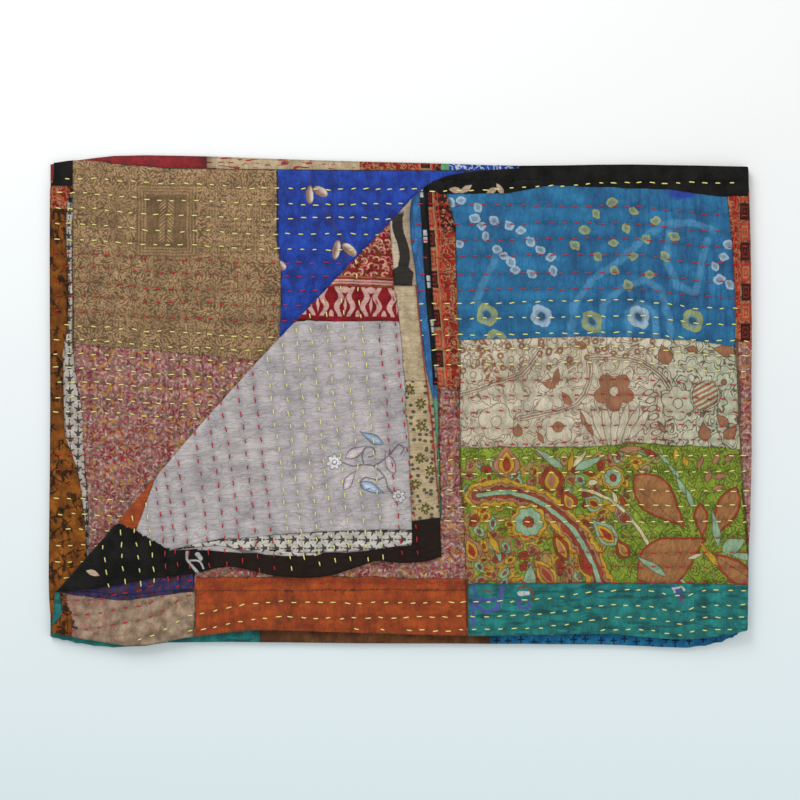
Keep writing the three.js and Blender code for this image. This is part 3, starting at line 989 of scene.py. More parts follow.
class Stitches:
    """The running stitches on the visible cloth, each a small arched thread."""

    def __init__(self, throw: FoldedThrow, sewing: Sewing, sizes: StitchSizes) -> None:
        """Starts the random draws of the stitches."""
        self.throw, self.sewing, self.sizes = throw, sewing, sizes
        self.random = np.random.default_rng(77)

    def at_top(self, u: np.ndarray, v: np.ndarray) -> Flat:
        """Places on the layer that shows its front, and whose corner is turned."""
        z = self.throw.sizes
        fold_at = z.depth + read_rows(z.upper_fold, u)
        hem = read_rows(z.first_hem, u)
        return Flat(u, (v - hem) / (fold_at - hem) * z.depth, u, v, fold_at)

    def at_under(self, u: np.ndarray, below: np.ndarray) -> Flat:
        """Places on the layer under the turned corner, by how far they lie below the upper edge."""
        z = self.throw.sizes
        fold_at = z.depth + read_rows(z.upper_fold, u)
        hem = read_rows(z.second_hem, u)
        share = (fold_at - below) / (fold_at - hem)
        v = 2 * fold_at + z.lower_turn - below
        return Flat(u, z.depth + z.lower_turn + share * z.depth, u, v, fold_at)

    def row_stations(self, rows: Sequence[StitchRow], number: int, back: bool, top: bool) -> Flat:
        """The middles of the stitches along one row of one face."""
        z, c, pitch = self.throw.sizes, self.sizes, self.sewing.sizes.stitch_pitch
        n = np.arange(0, z.width / pitch) + (0.5 if back else 0.0)
        u = n * pitch
        for _ in range(4):
            below = self.sewing.row_depth(rows[number], u, number)
            v = below if top else 2 * z.depth + z.lower_turn - below
            u = (n - self.sewing.stitch_phase(u, v) / (2 * math.pi)) * pitch
        u = u + self.random.uniform(-c.loose_along, c.loose_along, len(u))
        below = self.sewing.row_depth(rows[number], u, number)
        below = below + self.random.uniform(-c.loose_across, c.loose_across, len(u))
        return self.at_top(u, below) if top else self.at_under(u, below)

    def visible(self, f: Flat, leaf: Leaf) -> np.ndarray:
        """Whether a stitch's middle lies on the part of a leaf that shows."""
        z, c = self.throw.sizes, self.sizes
        past = self.throw.beyond_crease(f.u, f.v)
        from_hem = np.minimum(f.t, z.flat[1] - f.t)
        inside = (f.u > c.left_gap) & (f.u < z.width - c.right_gap)
        inside &= (from_hem > c.hem_gap) & (np.abs(f.t - z.depth) > c.fold_gap)
        if leaf is Leaf.FRONT:
            return inside & (past < c.onto_crease)
        if leaf is Leaf.FLAP:
            return inside & (past > c.flap_gap)
        below = 2 * f.fold_at + z.lower_turn - f.v
        return inside & (self.throw.beyond_crease(f.u, below) > -z.crease_bow - c.under_flap)

    def thread(self, f: Flat, back: bool, rows: Sequence[StitchRow], number: int) -> Pair:
        """The points and triangles of the stitches centred at some places.

        Args:
            f: the middle of each stitch.
            back: whether they lie on the cloth's back.
            rows: the rows of that layer.
            number: which of them they belong to.
        """
        c = self.sizes
        count = len(f.u)
        length = c.length + self.random.uniform(-1, 1, count) * c.length_spread
        before, after = (
            self.sewing.row_depth(rows[number], f.u + side, number)
            for side in (-c.slope_reach, c.slope_reach)
        )
        slope = (after - before) / (2 * c.slope_reach)
        turn = np.arctan(slope) + self.random.uniform(-1, 1, count) * c.turn
        if rows is UNDER_ROWS:
            turn = -turn
        rings = [(-0.5, 0.0, -c.bite)]
        for along in c.stations:
            arch = c.height * (1 - (abs(along) / 0.5) ** 3)
            half = c.thickness / 2 * (1 - c.taper * (abs(along) / 0.5) ** 2)
            for across, up in ((half, 0.0), (0.0, c.top * half), (-half, 0.0), (0.0, -c.belly * half)):
                rings.append((along, across, arch + up))
        rings.append((0.5, 0.0, -c.bite))
        along, across, up = (np.array(column)[None, :] for column in zip(*rings))
        along = along * length[:, None]
        du = along * np.cos(turn)[:, None] - across * np.sin(turn)[:, None]
        dv = along * np.sin(turn)[:, None] + across * np.cos(turn)[:, None]
        spread = Flat(*(np.repeat(part, len(rings)) for part in (f.s, f.t, f.u, f.v, f.fold_at)))
        spread = spread.moved(du.ravel(), dv.ravel())
        height = self.sewing.relief(spread) + np.repeat(up, count, 0).ravel()
        points = self.throw.place(spread, -height if back else height)
        return points, self._skin(count, len(rings), back)

    def _skin(self, count: int, size: int, back: bool) -> np.ndarray:
        """The triangles round many threads, each of so many points."""
        last = size - 1
        faces = []
        for k in range(4):
            nxt = (k + 1) % 4
            faces.append((0, 1 + k, 1 + nxt))
            faces.append((last, last - 4 + nxt, last - 4 + k))
            for ring in range(len(self.sizes.stations) - 1):
                a, b = 1 + 4 * ring + k, 1 + 4 * ring + nxt
                faces.extend([(a, a + 4, b + 4), (a, b + 4, b)])
        one = np.array(faces)
        if back:
            one = one[:, ::-1]
        return (one[None] + (np.arange(count) * size)[:, None, None]).reshape(-1, 3)

    def build(self, thread: Thread, material: bpy.types.Material, to_frame: np.ndarray) -> bpy.types.Object:
        """Makes all the visible stitches of one thread, as one piece."""
        points, triangles, shift = [], [], 0
        sewn = ((TOP_ROWS, Leaf.FRONT, False), (TOP_ROWS, Leaf.FLAP, True), (UNDER_ROWS, Leaf.UNDER, True))
        for rows, leaf, back in sewn:
            for number, row in enumerate(rows):
                f = self.row_stations(rows, number, back, rows is TOP_ROWS)
                seen = self.visible(f, leaf)
                if (row.back if back else row.front) is not thread or not seen.any():
                    continue
                f = Flat(*(part[seen] for part in (f.s, f.t, f.u, f.v, f.fold_at)))
                place, faces = self.thread(f, back, rows, number)
                points.append(place)
                triangles.append(faces + shift)
                shift += len(place)
        name = f"{thread.value}_stitches"
        mesh = cloth_mesh(name, np.concatenate(points) + to_frame, np.concatenate(triangles))
        mesh.materials.append(material)
        return into_scene(name, mesh)


# Materials: numbers and pictures drawn by nodes


def linear(red: float, green: float, blue: float) -> tuple[float, float, float, float]:
    """A colour given from 0 to 255, as a shader takes it."""
    parts = [c / 255 for c in (red, green, blue)]
    parts = [c / 12.92 if c <= 0.04045 else ((c + 0.055) / 1.055) ** 2.4 for c in parts]
    return (*parts, 1.0)


class Number:
    """A number in a material, which can be reckoned with."""

    def __init__(self, graph: "Nodes", socket: bpy.types.NodeSocket) -> None:
        """Takes a number from a socket."""
        self.graph, self.socket = graph, socket

    def __add__(self, other: "Number | float") -> "Number":
        """The sum."""
        return self.graph.reckon("ADD", self, other)

    __radd__ = __add__

    def __sub__(self, other: "Number | float") -> "Number":
        """The difference."""
        return self.graph.reckon("SUBTRACT", self, other)

    def __rsub__(self, other: "Number | float") -> "Number":
        """The difference, the other way round."""
        return self.graph.reckon("SUBTRACT", other, self)

    def __mul__(self, other: "Number | float") -> "Number":
        """The product."""
        return self.graph.reckon("MULTIPLY", self, other)

    __rmul__ = __mul__

    def __truediv__(self, other: "Number | float") -> "Number":
        """The quotient."""
        return self.graph.reckon("DIVIDE", self, other)

    def __mod__(self, other: float) -> "Number":
        """What is left after whole steps of another number, from 0 up."""
        return self.graph.reckon("FLOORED_MODULO", self, other)

    def __abs__(self) -> "Number":
        """The size without the sign."""
        return self.graph.reckon("ABSOLUTE", self)

    def lower_of(self, other: "Number | float") -> "Number":
        """The smaller of two numbers."""
        return self.graph.reckon("MINIMUM", self, other)

    def higher_of(self, other: "Number | float") -> "Number":
        """The larger of two numbers."""
        return self.graph.reckon("MAXIMUM", self, other)

    def floored(self) -> "Number":
        """The whole number below."""
        return self.graph.reckon("FLOOR", self)

    def wave(self) -> "Number":
        """The cosine."""
        return self.graph.reckon("COSINE", self)

    def swing(self) -> "Number":
        """The sine."""
        return self.graph.reckon("SINE", self)

    def below(self, edge: "Number | float", soft: float = 0.6) -> "Number":
        """One where this number is below an edge and nought above it, softened over a width."""
        return self.graph.step(edge - self, soft)

    def above(self, edge: "Number | float", soft: float = 0.6) -> "Number":
        """One where this number is above an edge and nought below it, softened over a width."""
        return self.graph.step(self - edge, soft)

    def within(self, low: float, high: float, soft: float = 0.6) -> "Number":
        """One between two edges and nought outside them."""
        return self.above(low, soft) * self.below(high, soft)


class Nodes:
    """A tree of shader nodes being built."""

    def __init__(self, tree: bpy.types.NodeTree) -> None:
        """Starts on a tree, with its first noise to come."""
        self.tree = tree
        self.seed = 0

    def node(self, kind: str, inputs: dict | None = None, **settings: object) -> bpy.types.Node:
        """Adds a node, with its settings and what goes into it."""
        node = self.tree.nodes.new(kind)
        for key, value in settings.items():
            setattr(node, key, value)
        for key, value in (inputs or {}).items():
            self.feed(node.inputs[key], value)
        return node

    def feed(self, socket: bpy.types.NodeSocket, value: object) -> None:
        """Puts a number, a colour or another node's output into a socket."""
        if isinstance(value, Number):
            self.tree.links.new(value.socket, socket)
        elif isinstance(value, bpy.types.NodeSocket):
            self.tree.links.new(value, socket)
        elif socket.type == "RGBA":
            socket.default_value = linear(*value)
        else:
            socket.default_value = value

    def reckon(self, operation: str, *values: object) -> Number:
        """The result of a Math node."""
        node = self.node("ShaderNodeMath", dict(enumerate(values)), operation=operation)
        return Number(self, node.outputs[0])

    def length(self, x: Number, y: Number) -> Number:
        """How far a place is from nought."""
        return self.reckon("SQRT", self.reckon("MULTIPLY_ADD", x, x, y * y))

    def step(self, past: Number, soft: float) -> Number:
        """A soft step from 0 to 1 where a number passes nought."""
        inputs = {"Value": past, "From Min": -soft / 2, "From Max": soft / 2}
        node = self.node("ShaderNodeMapRange", inputs, interpolation_type="SMOOTHSTEP")
        return Number(self, node.outputs[0])

    def at(self, x: object, y: object) -> bpy.types.NodeSocket:
        """A place for a texture, from two numbers."""
        return self.node("ShaderNodeCombineXYZ", {"X": x, "Y": y}).outputs[0]

    def noise(
        self, x: Number, y: Number, wide: float, tall: float | None = None, detail: float = 2.0
    ) -> Number:
        """Noise from about 0.2 to 0.8 whose bumps are so wide and tall, another each time."""
        self.seed += 1
        place = self.at(x / wide + 17.3 * self.seed, y / (tall or wide) + 5.1 * self.seed)
        inputs = {"Vector": place, "Scale": 1.0, "Detail": detail, "Roughness": 0.5}
        return Number(self, self.node("ShaderNodeTexNoise", inputs, noise_dimensions="2D").outputs[0])

    def mix(self, share: object, under: object, over: object) -> bpy.types.NodeSocket:
        """One colour laid over another by a share."""
        inputs = {"Factor": share, 6: under, 7: over}
        return self.node("ShaderNodeMix", inputs, data_type="RGBA").outputs[2]

    def shaded(self, colour: object, share: Number) -> bpy.types.NodeSocket:
        """A colour made darker or lighter by a share."""
        grey = self.node("ShaderNodeCombineColor", {"Red": share, "Green": share, "Blue": share}).outputs[0]
        inputs = {"Factor": 1.0, 6: colour, 7: grey}
        return self.node("ShaderNodeMix", inputs, data_type="RGBA", blend_type="MULTIPLY").outputs[2]


class Surface(Nodes):
    """The node tree of a material."""

    def __init__(self, name: str) -> None:
        """Makes an empty material."""
        self.material = bpy.data.materials.new(name)
        self.material.use_nodes = True
        super().__init__(self.material.node_tree)
        self.tree.nodes.clear()

    def object_place(self) -> bpy.types.NodeSocket:
        """The place on the object, in metres."""
        return self.node("ShaderNodeTexCoord").outputs["Object"]

    def shade(self, inputs: dict) -> bpy.types.Material:
        """Finishes the material with one shader and gives it back."""
        shader = self.node("ShaderNodeBsdfPrincipled", inputs)
        self.node("ShaderNodeOutputMaterial", {"Surface": shader.outputs[0]})
        return self.material


class Graph(Surface):
    """A material being drawn. Its x and y are spots of the drawing grid, u and v the flat cloth's mm."""

    def __init__(self, name: str) -> None:
        """Reads the cloth's two UV maps."""
        super().__init__(name)
        across, down = self.map_of("print")
        self.x = across * (1000 / GRID_STEP) + GRID_LEFT
        self.y = down * (-1000 / GRID_STEP) + GRID_TOP
        across, down = self.map_of("cloth")
        self.u, self.v = across * 1000, down * 1000

    def map_of(self, name: str) -> tuple[Number, Number]:
        """The two numbers of a UV map of the cloth."""
        uv = self.node("ShaderNodeUVMap", uv_map=name)
        parts = self.node("ShaderNodeSeparateXYZ", {"Vector": uv.outputs["UV"]})
        return Number(self, parts.outputs["X"]), Number(self, parts.outputs["Y"])

    def attribute(self, name: str) -> Number:
        """A number kept on the cloth's points."""
        return Number(self, self.node("ShaderNodeAttribute", attribute_name=name).outputs["Fac"])


class Finish(Enum):
    """How a cloth takes the light: its roughness, the strength of its sheen and how much it mirrors."""

    COTTON = (0.92, 0.04, 0.18)
    SILK = (0.66, 0.06, 0.3)
    SATIN = (0.42, 0.1, 0.45)


@dataclass(frozen=True)
class ClothLook:
    """How every cloth wears and is shaded: its weave in mm, its relief in metres, and as shares its wear and
    the painted shade and light of its troughs, crowns, seams, folds and creases.
    """

    thread_pitch: float = 0.9
    thread_height: float = 0.00025
    wrinkle_height: float = 0.0015
    # The trough, crown, seam, fold and crease shares paint shade and light into the colour; worn, loose and
    # slub are the cloth's own uneven wear.
    trough: float = 0.76
    crown: float = 1.06
    seam_shade: float = 0.6
    fold_shade: float = 0.28
    worn: float = 0.24
    loose: float = 0.2
    slub: float = 0.14
    crease_shade: float = 0.5

    def finish(self, g: Graph, colour: bpy.types.NodeSocket, finish: Finish) -> bpy.types.Material:
        """Turns a drawn cloth into a finished material, with its wear and with painted shade in its troughs,
        seams, creases and folds and painted light on its crowns.

        Args:
            g: the material being drawn.
            colour: the cloth's print.
            finish: how it takes the light.

        Returns:
            The material.
        """
        roughness, sheen, mirror = finish.value
        loose = g.noise(g.u, g.v, 10, 9)
        even = 1 - (self.worn + self.loose) / 2
        worn = g.noise(g.u, g.v, 46, detail=3) * self.worn + loose * self.loose + even
        # The wrinkle noise bumps the surface and also paints shade along the wrinkles; the thin fold lines
        # are painted shade of small folds, and bump too.
        crease = g.noise(g.u, g.v, 3.4, 19, detail=3)
        fold = abs(g.noise(g.u, g.v, 17, 34, detail=2) - 0.5).below(0.012, 0.03) * crease.above(0.45, 0.15)
        # Painted shade and light: darker in the troughs between the puckers, lighter on their crowns.
        crown = g.step(g.attribute("crown") - 0.95, 0.9) * (self.crown - self.trough) + self.trough
        # Painted shade along the seams, where the cloth dips.
        seam = g.attribute("seam")
        line = 1 - seam * seam * seam * self.seam_shade
        turn = 2 * math.pi / self.thread_pitch
        weft = (g.u * turn).wave() * (g.v * turn).wave()
        warp_slub = g.noise(g.u, g.v, 9, 1.1, detail=1) * self.slub
        slub = warp_slub + g.noise(g.u, g.v, 1.1, 9, detail=1) * self.slub + (1 - self.slub)
        crease_shade = crease * self.crease_shade + (1 - self.crease_shade / 2)
        # The wear and slubs are the cloth's own; the rest of this shade is painted shade and light.
        shade = worn * crown * line * slub * crease_shade * (1 - fold * self.fold_shade)
        colour = g.shaded(colour, shade)
        fine = crease * 1.1 + g.noise(g.u, g.v, 1.6, 6, detail=2) * 0.4 + loose * 0.7
        inputs = {"Strength": 0.8, "Distance": self.wrinkle_height, "Height": fine - fold * 0.5}
        cloth = g.node("ShaderNodeBump", inputs).outputs[0]
        height = weft * 0.5 + 0.5
        inputs = {"Strength": 0.35, "Distance": self.thread_height, "Height": height, "Normal": cloth}
        threads = g.node("ShaderNodeBump", inputs).outputs[0]
        return g.shade({
            "Base Color": colour,
            "Roughness": roughness,
            "Specular IOR Level": mirror,
            "Sheen Weight": sheen,
            "Sheen Roughness": 0.5,
            "Normal": threads,
        })  # fmt: skip


@dataclass(frozen=True)
class Dye:
    """A cloth's ground: its two shades, blots and finish, and how far its print wanders."""

    low: Colour
    high: Colour
    blot: float = 16
    wander: float = 1.0
    finish: Finish = Finish.COTTON
    soft: float = 0.6


DYES = {
    Print.BLACK: Dye((12, 12, 11), (30, 29, 27), 16, 0.8),
    Print.BANDHANI: Dye((23, 83, 127), (37, 118, 162), 26, 1.6, Finish.SILK, 0.7),
    Print.CREAM_FLORAL: Dye((182, 172, 146), (208, 200, 176), 30, 0.9),
    Print.GREEN_FLORAL: Dye((114, 138, 40), (144, 162, 60), 22, 1.2),
    Print.TEAL: Dye((14, 98, 96), (28, 136, 130), 14, 1.4, Finish.SILK),
    Print.ORANGE: Dye((138, 52, 10), (175, 77, 18), 18, 3.0, Finish.SILK),
    Print.BROWN: Dye((84, 52, 32), (122, 80, 50)),
    Print.BEIGE: Dye((126, 104, 84), (178, 153, 129), 10, 1.4),
    Print.VIOLET: Dye((34, 38, 88), (60, 64, 118), 8),
    Print.RED_BLOCK: Dye((114, 30, 22), (152, 45, 32), 9, 0.7),
    Print.PINK_FLORAL: Dye((134, 84, 79), (166, 116, 104), 8, 1.4),
    Print.SATIN: Dye((14, 78, 136), (30, 116, 174), 12, 1.0, Finish.SATIN),
    Print.FLECKED: Dye((18, 18, 20), (34, 34, 36), 16, 0.5),
    Print.BROCADE: Dye((98, 74, 46), (120, 92, 58), 30, 0.6, Finish.SILK),
    Print.ROYAL: Dye((8, 42, 130), (24, 70, 174), 12, 0.6, Finish.SILK),
    Print.OCHRE: Dye((106, 60, 18), (158, 92, 28), 12, 3.0),
    Print.ARROWS: Dye((184, 178, 166), (208, 202, 192), 10, 0.7),
    Print.FLAMES: Dye((112, 16, 24), (140, 28, 36), 10, 0.5),
    Print.WAVE: Dye((160, 140, 116), (184, 166, 140), 12, 0.7),
    Print.CREAM: Dye((172, 152, 120), (196, 178, 146), 12, 0.5),
    Print.STARS: Dye((168, 148, 114), (194, 175, 138), 10, 0.7),
    Print.GREY: Dye((170, 164, 166), (190, 183, 182), 26, 0.9),
    Print.MAROON: Dye((104, 14, 20), (142, 26, 32), 12, 1.0, Finish.SILK),
    Print.SCROLLS: Dye((28, 52, 140), (46, 82, 170), 8, 0.8),
    Print.CROSSES: Dye((20, 84, 132), (36, 120, 158), 9, 0.6),
    Print.LINING: Dye((160, 120, 80), (186, 148, 104)),
}


@dataclass(frozen=True)
class Cell:
    """One cell of a scattered print: the place in it and three chances from 0 to 1."""

    x: Number
    y: Number
    chance: Number
    second: Number
    third: Number


class Figure(Enum):
    """The shapes that a print's pictures are made of."""

    OVAL = "oval"
    LEAF = "leaf"
    DROP = "drop"
    PETALS = "petals"
    SEGMENT = "segment"


class Stamp(Nodes):
    """A node group that lays one figure over a picture, and its outline among the inked lines."""

    NUMBERS = (*"XYABCDEF", "Length", "Width", "Count", "Depth", "Strength", "Lines")
    NO_LINE = 99.0

    def __init__(self, figure: Figure) -> None:
        """Makes the group of one figure."""
        super().__init__(bpy.data.node_groups.new(f"{figure.value}_stamp", "ShaderNodeTree"))
        for name in self.NUMBERS:
            self.tree.interface.new_socket(name, in_out="INPUT", socket_type="NodeSocketFloat")
        for name in ("Colour", "Paint"):
            self.tree.interface.new_socket(name, in_out="INPUT", socket_type="NodeSocketColor")
        for name, kind in (("Edge", "Float"), ("Lines", "Float"), ("Colour", "Color")):
            self.tree.interface.new_socket(name, in_out="OUTPUT", socket_type=f"NodeSocket{kind}")
        self.given = self.node("NodeGroupInput").outputs
        n = {name: Number(self, self.given[name]) for name in self.NUMBERS}
        along, across = (
            self.reckon("MULTIPLY_ADD", n["X"], n[a], self.reckon("MULTIPLY_ADD", n["Y"], n[b], n[c]))
            for a, b, c in ("ABC", "DEF")
        )
        edge = getattr(self, figure.value)(along, across, n)
        lines = n["Lines"].higher_of(edge * -1).lower_of(abs(edge))
        colour = self.mix(edge.below(0.0, 0.9) * n["Strength"], self.given["Colour"], self.given["Paint"])
        self.node("NodeGroupOutput", {"Edge": edge, "Lines": lines, "Colour": colour})

    def oval(self, along: Number, across: Number, n: dict[str, Number]) -> Number:
        """An oval."""
        return (self.length(along, across) - 1) * n["Length"].lower_of(n["Width"])

    def leaf(self, along: Number, across: Number, n: dict[str, Number]) -> Number:
        """A leaf that is pointed at both ends."""
        return (abs(across) + along * along - 1) * n["Width"]

    def drop(self, along: Number, across: Number, n: dict[str, Number]) -> Number:
        """A petal, round at one end and pointed at the other."""
        width = (1 - along * along).higher_of(0) * (along * 0.45 + 0.85)
        return (abs(across) - width) * n["Width"] + (abs(along) - 1).higher_of(0) * n["Length"] * 0.5

    def petals(self, along: Number, across: Number, n: dict[str, Number]) -> Number:
        """A flower with rounded petals."""
        angle = self.reckon("ARCTAN2", across, along)
        reach = abs((angle * n["Count"] * 0.5).wave()) * n["Depth"] + (1 - n["Depth"])
        return (self.length(along, across) - reach) * n["Length"]

    def segment(self, along: Number, across: Number, n: dict[str, Number]) -> Number:
        """The distance to a straight line between two spots."""
        return self.length((abs(along) - 1).higher_of(0) * n["Length"], across)


OVAL, LEAF, DROP, PETALS = Figure.OVAL, Figure.LEAF, Figure.DROP, Figure.PETALS


class Drawing:
    """A picture printed on cloth: colours laid one over another, and inked lines.

    A figure's edge is the distance to its outline in grid spots, less than nought inside.
    """

    stamps: dict[Figure, bpy.types.NodeTree] = {}

    DRIFT = 7.0

    def __init__(self, g: Graph, dye: Dye) -> None:
        """Lays the ground, dyed unevenly between two shades."""
        self.g = g
        self.colour = g.mix(g.noise(g.x, g.y, dye.blot, detail=4).above(0.5, dye.soft), dye.low, dye.high)
        self.lines: object = Stamp.NO_LINE
        place = g.at(g.x / self.DRIFT, g.y / self.DRIFT)
        drift = g.node("ShaderNodeTexNoise", {"Vector": place, "Scale": 1.0, "Detail": 1.0})
        parts = g.node("ShaderNodeSeparateColor", {0: drift.outputs["Color"]}).outputs
        self.x = g.x + (Number(g, parts[0]) - 0.5) * dye.wander * 2
        self.y = g.y + (Number(g, parts[1]) - 0.5) * dye.wander * 2

    def stamp(
        self,
        figure: Figure,
        spot: Spot,
        half: float,
        wide: float,
        turn: float = 0.0,
        lines: object = Stamp.NO_LINE,
        **more: object,
    ) -> bpy.types.Node:
        """Adds a figure's node group, placed as in draw, with the lines kept so far and other inputs."""
        if figure not in self.stamps:
            self.stamps[figure] = Stamp(figure).tree
        c, s = math.cos(math.radians(turn)), math.sin(math.radians(turn))
        x, y = spot
        inputs = {
            "X": self.x, "Y": self.y,
            "A": c / half, "B": s / half, "C": -(x * c + y * s) / half,
            "D": -s / wide, "E": c / wide, "F": (x * s - y * c) / wide,
            "Length": half, "Width": wide, "Lines": lines, "Strength": 1.0,
        }  # fmt: skip
        return self.g.node("ShaderNodeGroup", {**inputs, **more}, node_tree=self.stamps[figure])

    def draw(
        self,
        figure: Figure,
        spot: Spot,
        half: float,
        wide: float,
        turn: float = 0.0,
        paint: Colour | None = None,
        ink: bool = True,
        strength: float = 1.0,
        **more: float,
    ) -> Number:
        """Lays a figure over the picture.

        Args:
            figure: its shape.
            spot: its middle.
            half: half its length.
            wide: half its width.
            turn: how far it is turned clockwise, in degrees.
            paint: its colour, or none for a figure of lines alone.
            ink: whether its outline is inked, and the lines inside it wiped.
            strength: how much the paint covers.
            more: the petals' Count and Depth.

        Returns:
            Its edge.
        """
        more.update(Strength=strength, Colour=self.colour, Paint=paint or (0, 0, 0))
        node = self.stamp(figure, spot, half, wide, turn, self.lines, **more)
        if paint:
            self.colour = node.outputs["Colour"]
        if ink:
            self.lines = Number(self.g, node.outputs["Lines"])
        return Number(self.g, node.outputs["Edge"])

    def stroke(self, points: Sequence[Spot]) -> Number:
        """The distance to a line through some spots."""
        found: object = Stamp.NO_LINE
        for (x0, y0), (x1, y1) in zip(points, points[1:]):
            middle, run = ((x0 + x1) / 2, (y0 + y1) / 2), (x1 - x0, y1 - y0)
            turn = math.degrees(math.atan2(run[1], run[0]))
            node = self.stamp(Figure.SEGMENT, middle, math.hypot(*run) / 2, 1.0, turn, found)
            found = Number(self.g, node.outputs["Lines"])
        return found

    def curve(self, points: Sequence[Spot], steps: int = 2) -> Number:
        """The distance to a smooth curve through some spots."""
        place = np.arange(len(points))
        at = np.linspace(0, len(points) - 1, (len(points) - 1) * steps + 1)
        xs, ys = (read_rows(list(zip(place, column)), at) for column in zip(*points))
        return self.stroke(list(zip(xs.tolist(), ys.tolist())))

    def cells(
        self, wide: float, tall: float | None = None, jitter: float = 1.0, shift: Spot = (0, 0)
    ) -> Cell:
        """A scattered or even repeat, one figure in a cell of a size."""
        tall = tall or wide
        x, y = self.x / wide - shift[0] / wide, self.y / tall - shift[1] / tall
        inputs = {"Vector": self.g.at(x, y), "Scale": 1.0, "Randomness": jitter}
        cell = self.g.node("ShaderNodeTexVoronoi", inputs, voronoi_dimensions="2D")
        middle = self.g.node("ShaderNodeSeparateXYZ", {0: cell.outputs["Position"]})
        chances = self.g.node("ShaderNodeSeparateColor", {0: cell.outputs["Color"]})
        parts = enumerate(((x, wide), (y, tall)))
        off = ((part - Number(self.g, middle.outputs[k])) * size for k, (part, size) in parts)
        return Cell(*off, *(Number(self.g, chances.outputs[k]) for k in range(3)))

    def turned(self, cell: Cell, turn: Number) -> Cell:
        """A cell with its figure turned by an angle."""
        c, s = turn.wave(), turn.swing()
        return Cell(cell.x * c + cell.y * s, cell.y * c - cell.x * s, cell.chance, cell.second, cell.third)

    def lay(self, share: Number, colour: Colour) -> None:
        """Lays a colour by a share."""
        self.colour = self.g.mix(share, self.colour, colour)

    def blots(
        self,
        colour: Colour,
        strength: object,
        level: float,
        soft: float,
        wide: float,
        tall: float | None = None,
        detail: float = 3.0,
    ) -> None:
        """Lays a colour in uneven blots.

        Args:
            colour: the colour.
            strength: how much it covers, at most.
            level: how much noise a blot takes, more for fewer blots.
            soft: how softly it ends.
            wide: how wide the blots are.
            tall: how tall they are.
            detail: how ragged they are.
        """
        noise = self.g.noise(self.g.x, self.g.y, wide, tall, detail)
        self.lay(noise.above(level, soft) * strength, colour)

    def line(self, *edges: Number) -> None:
        """Keeps the outlines of some figures, to be inked."""
        for edge in edges:
            self.lines = abs(edge).lower_of(self.lines)

    def clear(self, edge: Number) -> None:
        """Wipes the lines kept so far from inside a figure."""
        self.lines = (edge * -1).higher_of(self.lines)

    def ink(self, colour: Colour, width: float = 0.9, strength: float = 0.9) -> None:
        """Draws the lines kept so far, and forgets them."""
        self.lay(self.lines.below(width / 2, 0.8) * strength, colour)
        self.lines = Stamp.NO_LINE


@dataclass(frozen=True)
class GreenInks:
    """The colours printed on the green flowered cloth."""

    gold: Colour = (190, 150, 50)
    mint: Colour = (142, 170, 138)
    pale: Colour = (204, 192, 154)
    clay: Colour = (166, 116, 86)
    brick: Colour = (152, 64, 42)
    brown: Colour = (160, 112, 70)
    line: Colour = (66, 54, 34)


GREEN = GreenInks()


